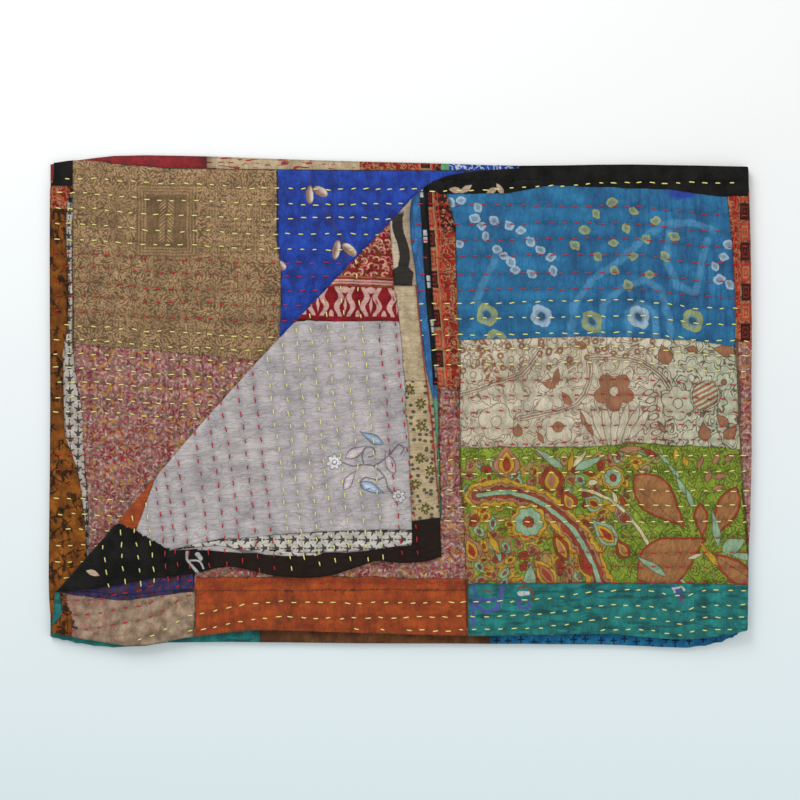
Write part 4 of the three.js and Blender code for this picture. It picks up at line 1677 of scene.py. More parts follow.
class Cloths:
    """The cloths of the throw. Each printed one is drawn by the method that bears its name."""

    WHITE, LIME, TERRACOTTA = (170, 188, 198), (160, 164, 84), (154, 108, 80)

    def __init__(self, look: ClothLook) -> None:
        """Keeps how every cloth wears."""
        self.look = look

    def make(self, cloth: Print) -> bpy.types.Material:
        """The material of one cloth."""
        g = Graph(cloth.value)
        d = Drawing(g, DYES[cloth])
        picture = getattr(self, cloth.value, None)
        if picture:
            picture(g, d)
        return self.look.finish(g, d.colour, DYES[cloth].finish)

    def black_cloth(self, g: Graph, d: Drawing) -> None:
        """Black cotton, browner to one side, with a few cream leaves and curls near its cut ends."""
        d.lay(g.x.above(215, 20) * g.y.above(500, 10), (36, 25, 20))
        leaves = (((456, 190), 8), ((466, 189), -35), ((491, 191), -30), ((500, 189), 60), ((94, 572), 20))
        for spot, turn in leaves:
            d.draw(LEAF, spot, 7, 2.8, turn, (186, 162, 140), ink=False)
        curls = (
            ([(188, 552), (187, 559), (193, 566), (199, 573), (203, 580)], 1.3, (180, 176, 172)),
            ([(190, 561), (196, 560), (201, 562), (204, 568)], 0.9, (180, 176, 172)),
            ([(198, 554), (201, 558)], 2.2, (180, 176, 172)),
            ([(316, 554), (330, 549), (344, 545), (362, 545)], 1.3, (204, 176, 160)),
        )  # fmt: skip
        for points, width, colour in curls:
            d.lay(d.curve(points).below(width, 0.9), colour)

    def blue_tie_dye(self, g: Graph, d: Drawing) -> None:
        """Blue cloth with tied spots: white chains, a yellow-green diamond and a row of large rings."""
        d.blots((20, 60, 110), g.x.above(600, 120) * 0.5, 0.58, 0.25, 5, 40)
        self.arches(g, d)
        stain = d.draw(OVAL, (682, 192), 14, 7, ink=False)
        d.lay(stain.below(0, 6) * 0.8, (30, 40, 150))
        self.tied_spots(d)
        self.tied_rings(d)

    def arches(self, g: Graph, d: Drawing) -> None:
        """Draws pale arches that the dye has hardly reached."""
        arches: object = Stamp.NO_LINE
        arch_paths = (
            [(570, 340), (574, 305), (592, 278), (616, 262), (640, 240), (662, 224), (690, 222), (712, 230)],
            [(600, 340), (603, 305), (622, 286), (645, 279), (660, 290), (668, 318), (671, 340)],
            [(628, 340), (628, 312), (640, 302), (654, 316), (655, 340)],
            [(668, 232), (666, 262), (676, 286), (694, 292), (700, 262), (706, 240)],
            [(476, 302), (482, 286), (490, 270), (496, 254)],
        )  # fmt: skip
        for points in arch_paths:
            arches = d.curve(points, 1).lower_of(arches)
        d.lay((arches + g.noise(g.x, g.y, 9) * 3).below(5.0, 3.2) * 0.5, (84, 150, 190))

    def tied_spots(self, d: Drawing) -> None:
        """Draws chains of white spots and a diamond of yellow-green ones."""
        chains = [
            (494, 220), (509, 225), (520, 230), (530, 241), (540, 249), (550, 257), (553, 270),
            (497, 249), (504, 256), (511, 262), (515, 270), (531, 274),
            (450, 202), (461, 200), (477, 207), (474, 218), (481, 226), (485, 236),
            (727, 245), (722, 257), (713, 266), (717, 279), (727, 284), (459, 244),
        ]  # fmt: skip
        diamond = [
            (612, 202), (596, 213), (633, 211), (584, 229), (625, 228), (655, 220), (673, 236), (645, 238),
            (613, 242), (574, 245), (597, 256), (632, 256), (664, 256), (613, 270), (649, 274), (627, 284),
        ]  # fmt: skip
        for number, spot in enumerate(chains + diamond):
            turn = 30 + 37 * math.sin(2.3 * number)
            colour = self.WHITE if number < len(chains) else self.LIME
            half = 5.2 if number % 3 else 6.0
            edge = d.draw(PETALS, spot, half, half * 0.82, turn, colour, False, 0.8, Count=4, Depth=0.15)
            d.lay(edge.below(-2.6, 1.6) * 0.6, (60, 108, 140))

    def tied_rings(self, d: Drawing) -> None:
        """Draws the row of large rings, with their blue holes."""
        lime_rings = [(487, 314), (591, 321), (691, 321), (497, 341)]
        white_rings = [(541, 316), (638, 317)]
        for spot in lime_rings + white_rings:
            colour = self.LIME if spot in lime_rings else self.WHITE
            d.draw(PETALS, spot, 12.5, 10.5, 62, colour, False, 0.78, Count=4, Depth=0.16)
            hole = d.draw(OVAL, spot, 5.4, 4.2, 62, ink=False)
            d.lay(hole.below(1.6, 2.2) * 0.5, (74, 138, 176))
            d.lay(hole.below(-0.6, 2.4) * 0.9, (26, 70, 104))

    def scrolls_between(self, d: Drawing, wide: float, levels: Sequence[float], width: float) -> None:
        """Fills the ground with loose scrolls, along the levels of uneven bumps."""
        field = d.g.noise(d.x, d.y, wide, detail=1)
        for level in levels:
            d.line((field - level) * width)

    def cream_line_flowers(self, g: Graph, d: Drawing) -> None:
        """Cream cloth with inked flowers, buds and leaves, some of them filled with terracotta."""
        d.lay(g.x.above(680, 70) * 0.6, (172, 184, 156))
        self.scrolls_between(d, 13, (0.44, 0.56), 22)
        self.small_rounds(g, d)
        self.inked_flowers(d)
        self.twin_lines(d)
        self.leaves_and_buds(d)
        lines = d.lines
        d.ink((120, 78, 62), 0.85, 0.8)
        d.lines = lines
        d.lay(d.lines.below(0.4, 0.8) * d.x.above(640, 60) * 0.6, (66, 66, 52))

    def small_rounds(self, g: Graph, d: Drawing) -> None:
        """Scatters small rounds, some of them filled, over the upper left."""
        small = d.cells(9.5)
        reach = g.length(small.x, small.y)
        upper = (d.y + d.x * 0.12).below(434.6, 10) * d.x.below(655, 8)
        d.lay(reach.within(1.2, 2.9, 0.8) * small.chance.above(0.5, 0.02) * upper, self.TERRACOTTA)
        d.line((reach - 3.1) + (1 - upper) * 9)

    def inked_flowers(self, d: Drawing) -> None:
        """Draws flowers with open and with filled hearts."""
        open_flowers = (((473, 374), 10, 7), ((511, 359), 10, 9), ((496, 421), 19, 4), ((676, 403), 17, 6))
        for spot, radius, count in open_flowers:
            d.draw(PETALS, spot, radius, radius, 20, Count=count, Depth=0.22)
            d.draw(OVAL, spot, radius * 0.3, radius * 0.3)
        hearted_flowers = (((558, 427), 17, 5), ((622, 460), 12, 5), ((721, 382), 9, 6))
        for spot, radius, count in hearted_flowers:
            d.draw(PETALS, spot, radius, radius, 50, Count=count, Depth=0.3)
            d.draw(OVAL, spot, radius * 0.3, radius * 0.3, 0, self.TERRACOTTA)

    def twin_lines(self, d: Drawing) -> None:
        """Draws stems as pairs of lines."""
        bands = (
            [(455, 395), (490, 384), (520, 374), (538, 352), (546, 334)],
            [(588, 362), (588, 382), (577, 402), (553, 412), (520, 418)],
            [(588, 358), (612, 356), (640, 361), (660, 375), (668, 388)],
        )  # fmt: skip
        for points in bands:
            band = d.curve(points)
            d.clear(band - 2.4)
            d.line(band - 2.4, band - 0.4)

    def leaves_and_buds(self, d: Drawing) -> None:
        """Draws sprigs, a fan of leaves, buds, a striped leaf and the large flower."""
        for number in range(7):
            y = 341 + 7 * number
            d.draw(LEAF, (476 + 2.4 * number, y), 4.2, 1.6, 110 + 4 * number, self.TERRACOTTA, ink=False)
            d.draw(LEAF, (485 + 2.8 * number, y + 2), 4.4, 1.6, 40 - 4 * number, self.TERRACOTTA, ink=False)
            d.draw(LEAF, (590 + 8 * number, 424), 25 - 2 * abs(number - 3), 4.5, 58 + 11 * number)
        buds = (
            (664, 354, 11, 8, 70), (722, 350, 11, 7, 10), (702, 432, 10, 7, 80), (728, 432, 9, 6, 130),
            (720, 420, 8, 5, 50), (690, 349, 7, 3.5, 10), (556, 376, 9, 4, 100), (548, 384, 8, 4, 20),
            (566, 398, 8, 4, 55), (518, 430, 7, 5, 95), (660, 426, 7, 2.6, 60), (582, 418, 8, 2.4, 75),
            (588, 428, 8, 2.4, 60), (540, 437, 7, 2.4, 60), (632, 445, 13, 4, 175), (580, 345, 6, 4, 30),
        )  # fmt: skip
        for x, y, half, wide, turn in buds:
            d.draw(DROP, (x, y), half, wide, turn, self.TERRACOTTA)
        striped = d.draw(LEAF, (703, 395), 17, 15, 115)
        stripes = ((d.x * 0.55 + d.y) * (2 * math.pi / 5.4)).wave().above(-0.1, 0.5)
        d.lay(striped.below(-1) * stripes, self.TERRACOTTA)
        d.line(striped + 2.4)
        d.draw(PETALS, (613, 391), 20, 20, 20, self.TERRACOTTA, Count=5, Depth=0.34)
        d.draw(OVAL, (613, 391), 4.5, 5.5, 0, (204, 192, 164))
        for number in range(6):
            d.draw(OVAL, (648 + 1.5 * number, 392 + 8 * number), 5, 2.8, 160)

    def green_flowers(self, g: Graph, d: Drawing) -> None:
        """Lime cloth crowded with paisleys, sprays and large brown petals."""
        self.small_figures(g, d)
        self.scrolls_between(d, 14, (0.42, 0.56), 24)
        self.sweeping_bands(g, d)
        self.paisleys(d)
        d.ink(GREEN.line, 0.9, 0.75)
        self.veined_petals(g, d)
        d.ink(GREEN.line, 0.9, 0.6)

    def small_figures(self, g: Graph, d: Drawing) -> None:
        """Scatters small ringed figures over the busy left part."""
        figures = d.cells(12.5)
        figures = d.turned(figures, figures.third * 6.3)
        busy = (d.x + (d.y - 450) * 0.55).below(655, 30) * (d.y + (d.x - 455) * 0.05).above(462, 12)
        reach = g.length(figures.x * 0.82, figures.y * 1.35)
        inside = reach.below(5.6, 0.8) * busy
        d.lay(figures.second.above(0.5, 0.02) * busy * 0.85, (160, 124, 80))
        d.lay(figures.second.above(0.82, 0.02) * busy * 0.85, GREEN.gold)
        for low, colour in ((0.22, GREEN.mint), (0.45, GREEN.clay), (0.66, GREEN.gold), (0.84, GREEN.brick)):
            d.lay(inside * figures.chance.above(low, 0.02), colour)
        d.lay(reach.below(2.0, 0.8) * busy, GREEN.brick)
        d.line(reach - 5.6, reach - 2.2)

    def sweeping_bands(self, g: Graph, d: Drawing) -> None:
        """Draws a broad banded curve and a thin one beside it."""
        sweep = d.curve([(478, 496), (510, 492), (546, 506), (572, 530), (590, 558), (602, 590)])
        d.clear(sweep - 13)
        waver = sweep + (g.noise(d.x, d.y, 9) - 0.5) * 9
        for width, colour in ((13, GREEN.gold), (8.5, GREEN.clay), (5.5, GREEN.brick)):
            d.lay(waver.below(width, 1), colour)
            d.line(waver - width)
        d.lay(sweep.below(2.6, 1), GREEN.mint)
        d.line(sweep - 2.6)
        second = d.curve([(580, 490), (608, 498), (635, 524), (656, 556), (690, 588)])
        d.clear(second - 3)
        d.lay(second.below(1.6, 1), GREEN.pale)
        d.line(second - 1.8, second - 9)

    def paisleys(self, d: Drawing) -> None:
        """Draws paisleys with hearts, leaves and ringed flowers."""
        drop_groups = (
            (GREEN.clay, (
                (506, 461, 16, 15, 90), (470, 548, 15, 12, 70), (545, 457, 14, 3.4, 25),
                (632, 449, 14, 3.6, 178), (609, 455, 5, 2.6, 80), (698, 462, 7, 3, 110),
                (714, 458, 7, 3, 120), (706, 474, 8, 3.4, 95), (718, 476, 8, 3, 170),
                (716, 487, 6, 3, 160), (728, 457, 7, 3.4, 150),
            )),
            (GREEN.brick, (
                (551, 478, 15, 14, 85), (568, 500, 11, 9, 60), (622, 548, 12, 8, 60),
                (560, 545, 17, 8, 60), (585, 565, 13, 6, 55), (648, 452, 9, 3, 25),
                (588, 474, 7, 3.4, 5), (622, 500, 7, 3, 65), (617, 455, 5, 2.6, 75),
            )),
            (GREEN.mint, (
                (592, 503, 10, 9, 30), (604, 532, 18, 11, 45), (497, 551, 11, 3, 75),
                (530, 578, 15, 7, 95), (548, 458, 18, 4, 35), (588, 463, 16, 5, 155),
                (672, 470, 10, 2.6, 50), (680, 485, 12, 3, 62), (688, 497, 11, 3, 70),
                (662, 458, 8, 2.4, 40),
            )),
            (GREEN.gold, (
                (492, 541, 14, 4, 65), (545, 572, 17, 10, 50), (570, 460, 12, 3, 100),
                (634, 465, 5, 3, 40), (674, 453, 6, 3.4, 80), (683, 460, 6, 3.4, 70),
            )),
            (GREEN.pale, (
                (579, 458, 12, 3, 130), (592, 483, 6, 3.4, 170), (614, 497, 7, 3, 70),
            )),
        )  # fmt: skip
        for paint, drops in drop_groups:
            for x, y, half, wide, turn in drops:
                edge = d.draw(DROP, (x, y), half, wide, turn, paint)
                if wide > 7:
                    d.lay(edge.below(-0.36 * wide), GREEN.gold if paint != GREEN.gold else GREEN.clay)
                    d.lay(edge.below(-0.62 * wide), GREEN.brick if paint != GREEN.brick else GREEN.clay)
                    d.line(edge + wide * 0.36)
        blooms = (
            ((528, 522), 19, GREEN.gold, GREEN.mint),
            ((612, 477), 12, GREEN.gold, GREEN.mint),
            ((624, 518), 7, GREEN.mint, GREEN.brick),
        )
        for spot, radius, paint, heart in blooms:
            for share, shade in ((1.0, paint), (0.78, heart), (0.3, GREEN.brick)):
                d.draw(PETALS, spot, radius * share, radius * share, 11, shade, Count=8, Depth=0.16)

    def veined_petals(self, g: Graph, d: Drawing) -> None:
        """Draws the large veined petals and the sprays over them."""
        veins = g.noise(d.x * 0.9 + d.y * 0.4, d.y * 0.9 - d.x * 0.4, 1.6, 20, detail=1)
        veins = veins.above(0.56, 0.1) * 0.35
        large_petals = (
            (659, 500, 37, 20, 226), (671, 558, 40, 27, 150), (724, 512, 28, 13, 291), (700, 521, 19, 8, 266),
            (731, 568, 27, 12, 38),
        )  # fmt: skip
        for x, y, half, wide, turn in large_petals:
            edge = d.draw(DROP, (x, y), half, wide, turn, GREEN.brick, ink=False)
            d.lay(edge.below(-2.4, 0.9), GREEN.brown)
            d.lay(edge.below(-3, 1) * veins, (108, 68, 42))
            d.line(edge)
        sprays = (
            (708, 553, 16, 4, 50, GREEN.gold), (715, 528, 20, 4, 80, GREEN.mint),
            (733, 545, 13, 9, 150, GREEN.mint), (740, 556, 11, 4, 8, GREEN.mint),
            (696, 556, 9, 2.4, 160, GREEN.pale), (651, 566, 18, 4, 35, GREEN.mint),
        )  # fmt: skip
        for x, y, half, wide, turn, paint in sprays:
            d.draw(DROP, (x, y), half, wide, turn, paint)
        d.line(d.stroke([(640, 490), (683, 528)]), d.stroke([(700, 545), (752, 580)]))

    def teal_cloth(self, g: Graph, d: Drawing) -> None:
        """Teal silk, worn to black in places, with a few violet, brown and white figures at one edge."""
        d.blots((8, 52, 58), 0.6, 0.58, 0.15, 26, 5, 4)
        violet, brown, white = (76, 78, 156), (104, 72, 56), (196, 196, 196)
        figures = (
            ([(474, 584), (475, 596), (472, 606), (473, 624)], 1.7, violet),
            ([(503, 584), (500, 596), (496, 608), (486, 612), (476, 606), (480, 600), (494, 600)],
             2.0, violet),
            ([(484, 590), (492, 592)], 1.0, brown),
            ([(519, 588), (527, 586), (533, 591), (533, 600)], 1.4, brown),
            ([(519, 600), (519, 607), (527, 609), (530, 603)], 1.8, violet),
            ([(520, 594), (528, 593)], 2.4, white),
            ([(672, 586), (678, 592), (682, 600)], 1.8, violet),
            ([(674, 592), (672, 588), (681, 587), (684, 590)], 1.0, white),
            ([(680, 600), (684, 596)], 1.2, brown),
        )  # fmt: skip
        for points, width, colour in figures:
            d.lay(d.stroke(points).below(width, 0.9) * 0.9, colour)

    def orange_cloth(self, g: Graph, d: Drawing) -> None:
        """Rust orange silk with a few stains, and a line of painted shade along a crease."""
        d.blots((112, 48, 20), 0.3, 0.58, 0.12, 22, 6)
        # A dark line down the cloth: painted shade along a crease.
        d.lay(d.stroke([(354, 578), (356, 600), (351, 622), (350, 640)]).below(0.8, 1.6) * 0.5, (84, 30, 12))
        stains = d.stroke([(276, 598), (281, 612), (277, 634)]).lower_of(d.stroke([(293, 596), (289, 618)]))
        d.lay(stains.below(2.2, 3) * 0.4, (96, 40, 16))

    def beige_cloth(self, g: Graph, d: Drawing) -> None:
        """Faded beige cotton, pinkish to one side."""
        d.blots((176, 116, 110), g.x.below(110, 50) * 0.5, 0.54, 0.12, 12, 8)
        blot = d.stroke([(66, 608), (71, 612), (68, 618), (74, 621), (71, 626), (77, 628)])
        d.lay(blot.below(1.3, 1) * 0.85, (38, 30, 28))

    def violet_mottled(self, g: Graph, d: Drawing) -> None:
        """Violet blue cotton with brown blots."""
        d.blots((84, 52, 50), 0.8, 0.5, 0.08, 6)

    def red_block_print(self, g: Graph, d: Drawing) -> None:
        """Red border cloth: meander squares, dark and tan in turn, beside tan curls on red."""
        tan, dark = (164, 122, 84), (44, 28, 24)
        curls = g.noise(d.x, d.y, 7, detail=1)
        d.lay(abs(curls - 0.5).below(0.05, 0.04) * 0.85, tan)
        d.lay(curls.above(0.66, 0.03) * 0.85, tan)
        upper_left = d.y.below(232, 14) * d.x.within(430, 470, 2)
        d.lay(upper_left * g.noise(d.x, d.y, 4.5, detail=1).above(0.5, 0.05), dark)
        left = d.x - 426.5 - (d.y - 180) * 0.068
        right = d.x - 742.7
        at_right = d.x.above(600, 1)
        off = left + (right - left) * at_right
        beside = abs(off)
        d.lay(beside.below(6.2, 0.8) * (1 - at_right * 0.85), tan)
        down = d.y - 238.6 + at_right * 27.1
        for shift, ring, heart in ((0.0, dark, (132, 36, 30)), (20.0, (176, 66, 48), tan)):
            square = beside.higher_of(abs((down + shift + 20) % 40 - 20) * 0.52)
            d.lay(square.below(4.5, 0.7), ring)
            d.lay((square.within(2.1, 3.0, 0.6) + square.below(0.9, 0.6)) * 0.9, heart)
        d.lay((beside.within(6.6, 7.8, 0.6) + beside.within(9.4, 10.4, 0.6)) * 0.8, (196, 62, 46))

    def pink_small_flowers(self, g: Graph, d: Drawing) -> None:
        """Dusty pink cloth crowded with tiny flowers and darts in red, mustard and green."""
        d.blots((192, 162, 150), 0.65, 0.56, 0.1, 3.4)
        darts = (
            (10, (182, 132, 54), 0.5, 1.7, 0.85),
            (7, (96, 106, 74), 0.5, 1.1, 0.8),
            (8, (138, 26, 42), 0.5, 1.0, 0.85),
            (6, (104, 40, 62), 0.6, 0.9, 0.75),
            (5.5, (204, 186, 168), 0.6, 0.8, 0.7),
        )  # fmt: skip
        for size, colour, low, width, strength in darts:
            cell = d.cells(size, shift=(size * 0.37, size * 0.61))
            cell = d.turned(cell, cell.second * 6.3)
            dart = abs(cell.y) + cell.x * cell.x * (0.5 / size)
            dart = dart.below(width, 1.0) * abs(cell.x).below(size * 0.42, 1)
            d.lay(dart * cell.chance.above(low, 0.02) * strength, colour)
        d.blots((124, 52, 72), 0.5, 0.6, 0.08, 2.2, detail=2)
        burst = d.cells(37, 31, shift=(3, 7))
        angle = g.reckon("ARCTAN2", burst.y, burst.x)
        reach = g.length(burst.x, burst.y)
        rays = (angle * 9).wave().above(0.1, 0.5) * reach.within(2.4, 6.5, 0.9)
        d.lay(rays * burst.chance.above(0.3, 0.02) * 0.8, (132, 20, 42))

    def blue_satin(self, g: Graph, d: Drawing) -> None:
        """Blue satin, sea green at its lower end, with painted shade of its folds in dark streaks down it."""
        # Dark streaks down the strip: painted shade of the satin's folds.
        d.blots((10, 50, 96), 0.4, 0.55, 0.2, 3, 15, 2)
        d.lay(g.y.above(398, 5), (84, 152, 118))

    def black_flecked(self, g: Graph, d: Drawing) -> None:
        """Black cloth with pale flecks in pairs."""
        for half in (-3.4, 3.4):
            fleck = abs((d.y - 258.6 + half) % 45 - 22.5).below(2.8, 1)
            d.lay(fleck * (d.x - 427 - (d.y - 281) * 0.089).within(0, 3.8, 1), (184, 188, 188))

    def brown_brocade(self, g: Graph, d: Drawing) -> None:
        """Woven brown silk whose short tan floats fan out into leaves, with a framed panel."""
        tan = (184, 150, 108)
        fan = d.cells(17, 14)
        spread = g.reckon("ARCTAN2", fan.y, fan.x)
        floats = d.turned(d.cells(3.2, 2.8), spread)
        dash = g.length(floats.x * 0.5, floats.y * 1.35).below(1.0, 0.9)
        spokes = (spread * 13).wave().above(0.2, 1.0) * g.length(fan.x, fan.y).within(2.5, 7.5, 1.5)
        patchy = g.noise(g.x, g.y, 24, detail=3).above(0.46, 0.35) * 0.4 + 0.44
        across, down = abs(d.x - 166), abs(d.y - 220)
        frame_off = (across - 22).higher_of(down - 28)
        panel = frame_off.below(8, 1)
        d.lay(dash.higher_of(spokes * 0.9) * patchy * (1 - panel * 0.8), tan)
        dots = ((d.x + d.y) * (math.pi / 1.25)).wave() * 0.35 + 0.5
        for off in (-0.5, 2.5, 5.5):
            d.lay(dots * abs(frame_off - off).below(0.9, 0.8) * 0.8, tan)
        for line in (abs(d.x - 193), abs(d.x - 197), abs(d.y - 187), abs(d.y - 190)):
            d.lay(dots * line.below(0.8, 0.8) * d.y.below(192, 1) * d.x.above(190, 2) * 0.8, tan)
        plume = abs(d.x - 166 + (d.y - 219) * 0.04)
        bones = ((d.y - plume * 0.9) * (2 * math.pi / 3.6)).wave().above(0, 0.9)
        d.lay(plume.below(7, 2) * plume.above(1.2, 0.8) * bones * down.below(21, 3) * 0.75, tan)
        rows = (d.y * (2 * math.pi / 5.2)).wave().above(0.2, 0.9)
        rows = rows * (d.x * (2 * math.pi / 2.6)).wave().above(-0.2, 0.9)
        d.lay(rows * d.x.above(206, 4) * d.y.within(190, 262, 6) * 0.5, tan)
        d.blots((66, 48, 30), 0.4, 0.6, 0.12, 2.2, 1.6, 2)
        self.hem_line(d)

    def hem_line(self, d: Drawing) -> None:
        """Draws a thin black line along the second layer's hem, where the cloth is thinnest."""
        thin = d.g.attribute("crown").below(0.7, 0.2)
        d.lay(thin * d.x.above(106, 3) * d.y.below(174, 1) * 0.9, (22, 19, 19))

    def royal_blue(self, g: Graph, d: Drawing) -> None:
        """Royal blue silk with a trailing stem and pairs of shaded tan petals."""
        d.blots((22, 32, 92), 0.45, 0.58, 0.14, 9, 30)
        stem = d.curve([(306, 172), (311, 184), (323, 204), (336, 228), (342, 240), (346, 262)])
        d.lay(stem.below(0.9, 0.9) * 0.7, (64, 50, 92))
        petal_pairs = (
            (310, 194, 9, 3.8, 88), (321, 191, 8, 4.4, 35), (336, 249, 10, 3.9, 100), (349, 249, 9, 4.4, 38),
            (281, 265, 6, 4, 40),
        )  # fmt: skip
        for x, y, half, wide, turn in petal_pairs:
            edge = d.draw(OVAL, (x, y), half, wide, turn, (146, 112, 86), ink=False)
            angle = math.radians(turn)
            side = (d.x - x) * (math.sin(angle) / wide) - (d.y - y) * (math.cos(angle) / wide)
            d.lay(edge.below(-0.4, 1) * side.above(0.1, 1.1) * 0.8, (222, 214, 204))
        self.hem_line(d)

    def ochre_crackle(self, g: Graph, d: Drawing) -> None:
        """Ochre cloth with the dark crackle of wax dyeing."""
        inputs = {"Vector": g.at(d.x / 15, d.y / 15), "Scale": 1.0}
        crack = g.node("ShaderNodeTexVoronoi", inputs, voronoi_dimensions="2D", feature="DISTANCE_TO_EDGE")
        d.lay(g.y.below(440, 60) * 0.3, (60, 32, 12))
        crack = Number(g, crack.outputs["Distance"])
        some = g.noise(g.x, g.y, 20, detail=3)
        d.lay(crack.below(0.045, 0.05) * some.above(0.46, 0.1) * 0.85, (30, 20, 12))
        d.blots((30, 22, 16), some.above(0.46, 0.1) * 0.85, 0.54, 0.1, 6, 11, 4)

    def arrow_print(self, g: Graph, d: Drawing) -> None:
        """White cotton with rows of small black three-pointed darts and dots."""
        flat = d.x.above(150, 2)
        d.lay((1 - flat) * 0.22, (120, 84, 50))
        along = d.y + (d.x * 1.0 - d.y) * flat
        across = d.x + (d.y * 1.0 - d.x) * flat
        row = (across / 8.4 + 0.3).floored()
        lx = (across / 8.4 + 0.3 - row - 0.5) * 8.4
        ly = (along + (row % 2) * 6) % 12 - 6
        shaft = abs(lx) - (ly + 5.5) * 0.22
        wings = abs(ly - 1.2 + abs(lx) * 0.55) + abs(lx) * 0.22
        dart = (shaft.below(0, 0.8) * ly.within(-5.5, 3.4)).higher_of(wings.below(1.5, 0.8))
        dot = g.length(lx, abs(ly) - 5.6).below(0.7, 0.7)
        d.lay(dart.higher_of(dot) * 0.92, (34, 34, 38))

    def red_border_print(self, g: Graph, d: Drawing) -> None:
        """Dark red border cloth: pale flames between little trees, pale stripes, and curls above."""
        pale = (202, 160, 150)
        down = d.y - 303
        beside = abs((d.x + down * 0.06 - 346 + 12.9) % 25.8 - 12.9)
        sway = (down * 0.32).swing()
        strand = abs(beside - 6.0 - sway * 2.0) - 2.9 + abs(down) * 0.07
        heart = beside * 1.5 + abs(down - 3) * 0.3 - 2.5
        cap = abs(down + 11.5) + beside * 0.4 - 3.6
        tip = g.length(beside - 12.9, (down - 13) * 0.5) - 2.3
        flame = strand.lower_of(heart).lower_of(cap).lower_of(tip).higher_of(abs(down) - 14.5)
        d.lay(flame.below(0, 0.9), pale)
        above = d.y.below(277.5, 0.8)
        d.lay(above * g.noise(g.x, g.y, 7, detail=2).above(0.5, 0.1) * 0.8, (112, 58, 30))
        for size, shift, colour in ((9.5, (0, 0), (206, 164, 128)), (7.5, (3, 2), (196, 120, 116))):
            curl = d.cells(size, shift=shift)
            curl = d.turned(curl, curl.second * 3 - 1)
            ring = g.length(curl.x, curl.y).within(size * 0.22, size * 0.4, 0.7)
            d.lay(above * ring * curl.y.below(0.8, 0.8) * 0.9, colour)
        stripes = (
            (278.5, 0.8, (152, 104, 60)), (283.4, 2.3, pale), (283.4, 0.5, (160, 60, 52)),
            (287, 0.6, (130, 84, 44)),
        )  # fmt: skip
        for y, half, colour in stripes:
            d.lay((abs(d.y - y) - half).below(0, 0.8) * 0.9, colour)

    def cream_waves(self, g: Graph, d: Drawing) -> None:
        """Cream cloth crossed by a charcoal wave."""
        d.lay(d.x.below(398.5, 1), (196, 180, 156))
        middle = (d.y * 0.105).swing() * 3.0 + (d.y - 215) * 0.05 + 400
        band = abs(d.x - middle) - 5.2 - d.y.above(270, 8) * 7
        d.lay(band.below(0, 1) * d.y.below(286, 1.5) * d.y.above(212, 6), (50, 46, 42))

    def cream_cloth(self, g: Graph, d: Drawing) -> None:
        """Plain cream cotton, slightly stained."""
        d.blots((150, 128, 98), 0.3, 0.6, 0.14, 4, 14)
        d.blots((150, 24, 30), g.y.below(170, 1) * 0.9, 0.62, 0.04, 12, 2.4, 1)
        self.piping(d)

    def piping(self, d: Drawing) -> None:
        """Draws the red piping along the hem of the turned corner."""
        hem = d.stroke([(416, 286), (423.6, 360), (431.5, 420), (436.5, 480), (441, 516)])
        d.lay(hem.below(0.9, 0.8) * 0.8, (150, 40, 34))

    def star_print(self, g: Graph, d: Drawing) -> None:
        """Straw-coloured cotton with dark dots and small eight-pointed stars."""
        dots = d.cells(6.6, 6.0, 0.72)
        reach = g.length(dots.x, dots.y * 1.22)
        d.lay(reach.below(2.0, 0.9) * dots.chance.above(0.3, 0.02) * 0.85, (54, 54, 58))
        for spot in ((409, 390), (421, 403), (421, 426), (420, 458), (415, 484), (425, 508), (430, 470)):
            star = d.draw(PETALS, spot, 5.6, 5.6, 10, ink=False, Count=8, Depth=0.5)
            for edge, colour in ((0.8, (186, 166, 122)), (0.0, (88, 82, 44)), (-3.4, (188, 170, 126))):
                d.lay(star.below(edge), colour)
        self.piping(d)

    def grey_lavender(self, g: Graph, d: Drawing) -> None:
        """Pale lavender grey cotton with loose tendrils, two daisies and a few soft petals."""
        blue, rose, white = (132, 170, 204), (206, 186, 192), (222, 220, 222)
        petals = (
            (372, 438, 13, 5, 25, blue), (356, 452, 12, 5, 150, rose), (390, 462, 12, 5, 70, rose),
            (372, 488, 13, 5, 205, blue), (350, 480, 11, 4.5, 120, rose),
        )  # fmt: skip
        for x, y, half, wide, turn, paint in petals:
            edge = d.draw(DROP, (x, y), half, wide, turn, paint, strength=0.9)
            d.lay(edge.below(-0.5 * wide, 2.4) * 0.6, white)
        for spot, radius in (((335, 462), 8), ((398, 496), 7)):
            d.draw(PETALS, spot, radius, radius, 12, white, Count=7, Depth=0.4)
            d.draw(OVAL, spot, radius * 0.28, radius * 0.28)
        tendrils = (
            [(343, 463), (354, 466), (364, 464), (374, 466), (384, 476), (388, 488), (392, 494)],
            [(364, 464), (362, 455), (366, 447), (374, 448), (375, 455), (369, 457)],
            [(384, 476), (376, 480), (366, 477), (360, 483), (364, 490), (370, 488)],
            [(374, 466), (384, 460), (392, 452), (398, 444), (404, 447), (401, 453)],
        )  # fmt: skip
        for points in tendrils:
            d.line(d.curve(points) - 0.2)
        d.ink((92, 88, 92), 1.2, 0.75)

    def maroon_cloth(self, g: Graph, d: Drawing) -> None:
        """Dark red silk with a few pale curls where it meets other cloths."""
        curls = abs(g.noise(d.x, d.y, 7, detail=1) - 0.55).below(0.04, 0.03)
        d.lay(curls * g.x.below(72, 3) * g.y.above(178, 3) * 0.8, (196, 140, 96))

    def green_blue_scrolls(self, g: Graph, d: Drawing) -> None:
        """Blue cloth with white scrolls beside a green stripe."""
        d.lay(abs(g.noise(d.x, d.y, 6, detail=1) - 0.5).below(0.05, 0.03) * 0.8, (190, 204, 214))
        d.lay(g.x.below(449, 1.5), (92, 158, 110))

    def blue_crosses(self, g: Graph, d: Drawing) -> None:
        """Blue cloth with small dark crosses."""
        cell = d.cells(13, 9, 0.35)
        across, down = abs(cell.x), abs(cell.y)
        cross = across.lower_of(down).below(0.8, 0.6) * across.higher_of(down).below(3.4, 0.8)
        d.lay(cross * 0.9, (16, 26, 46))


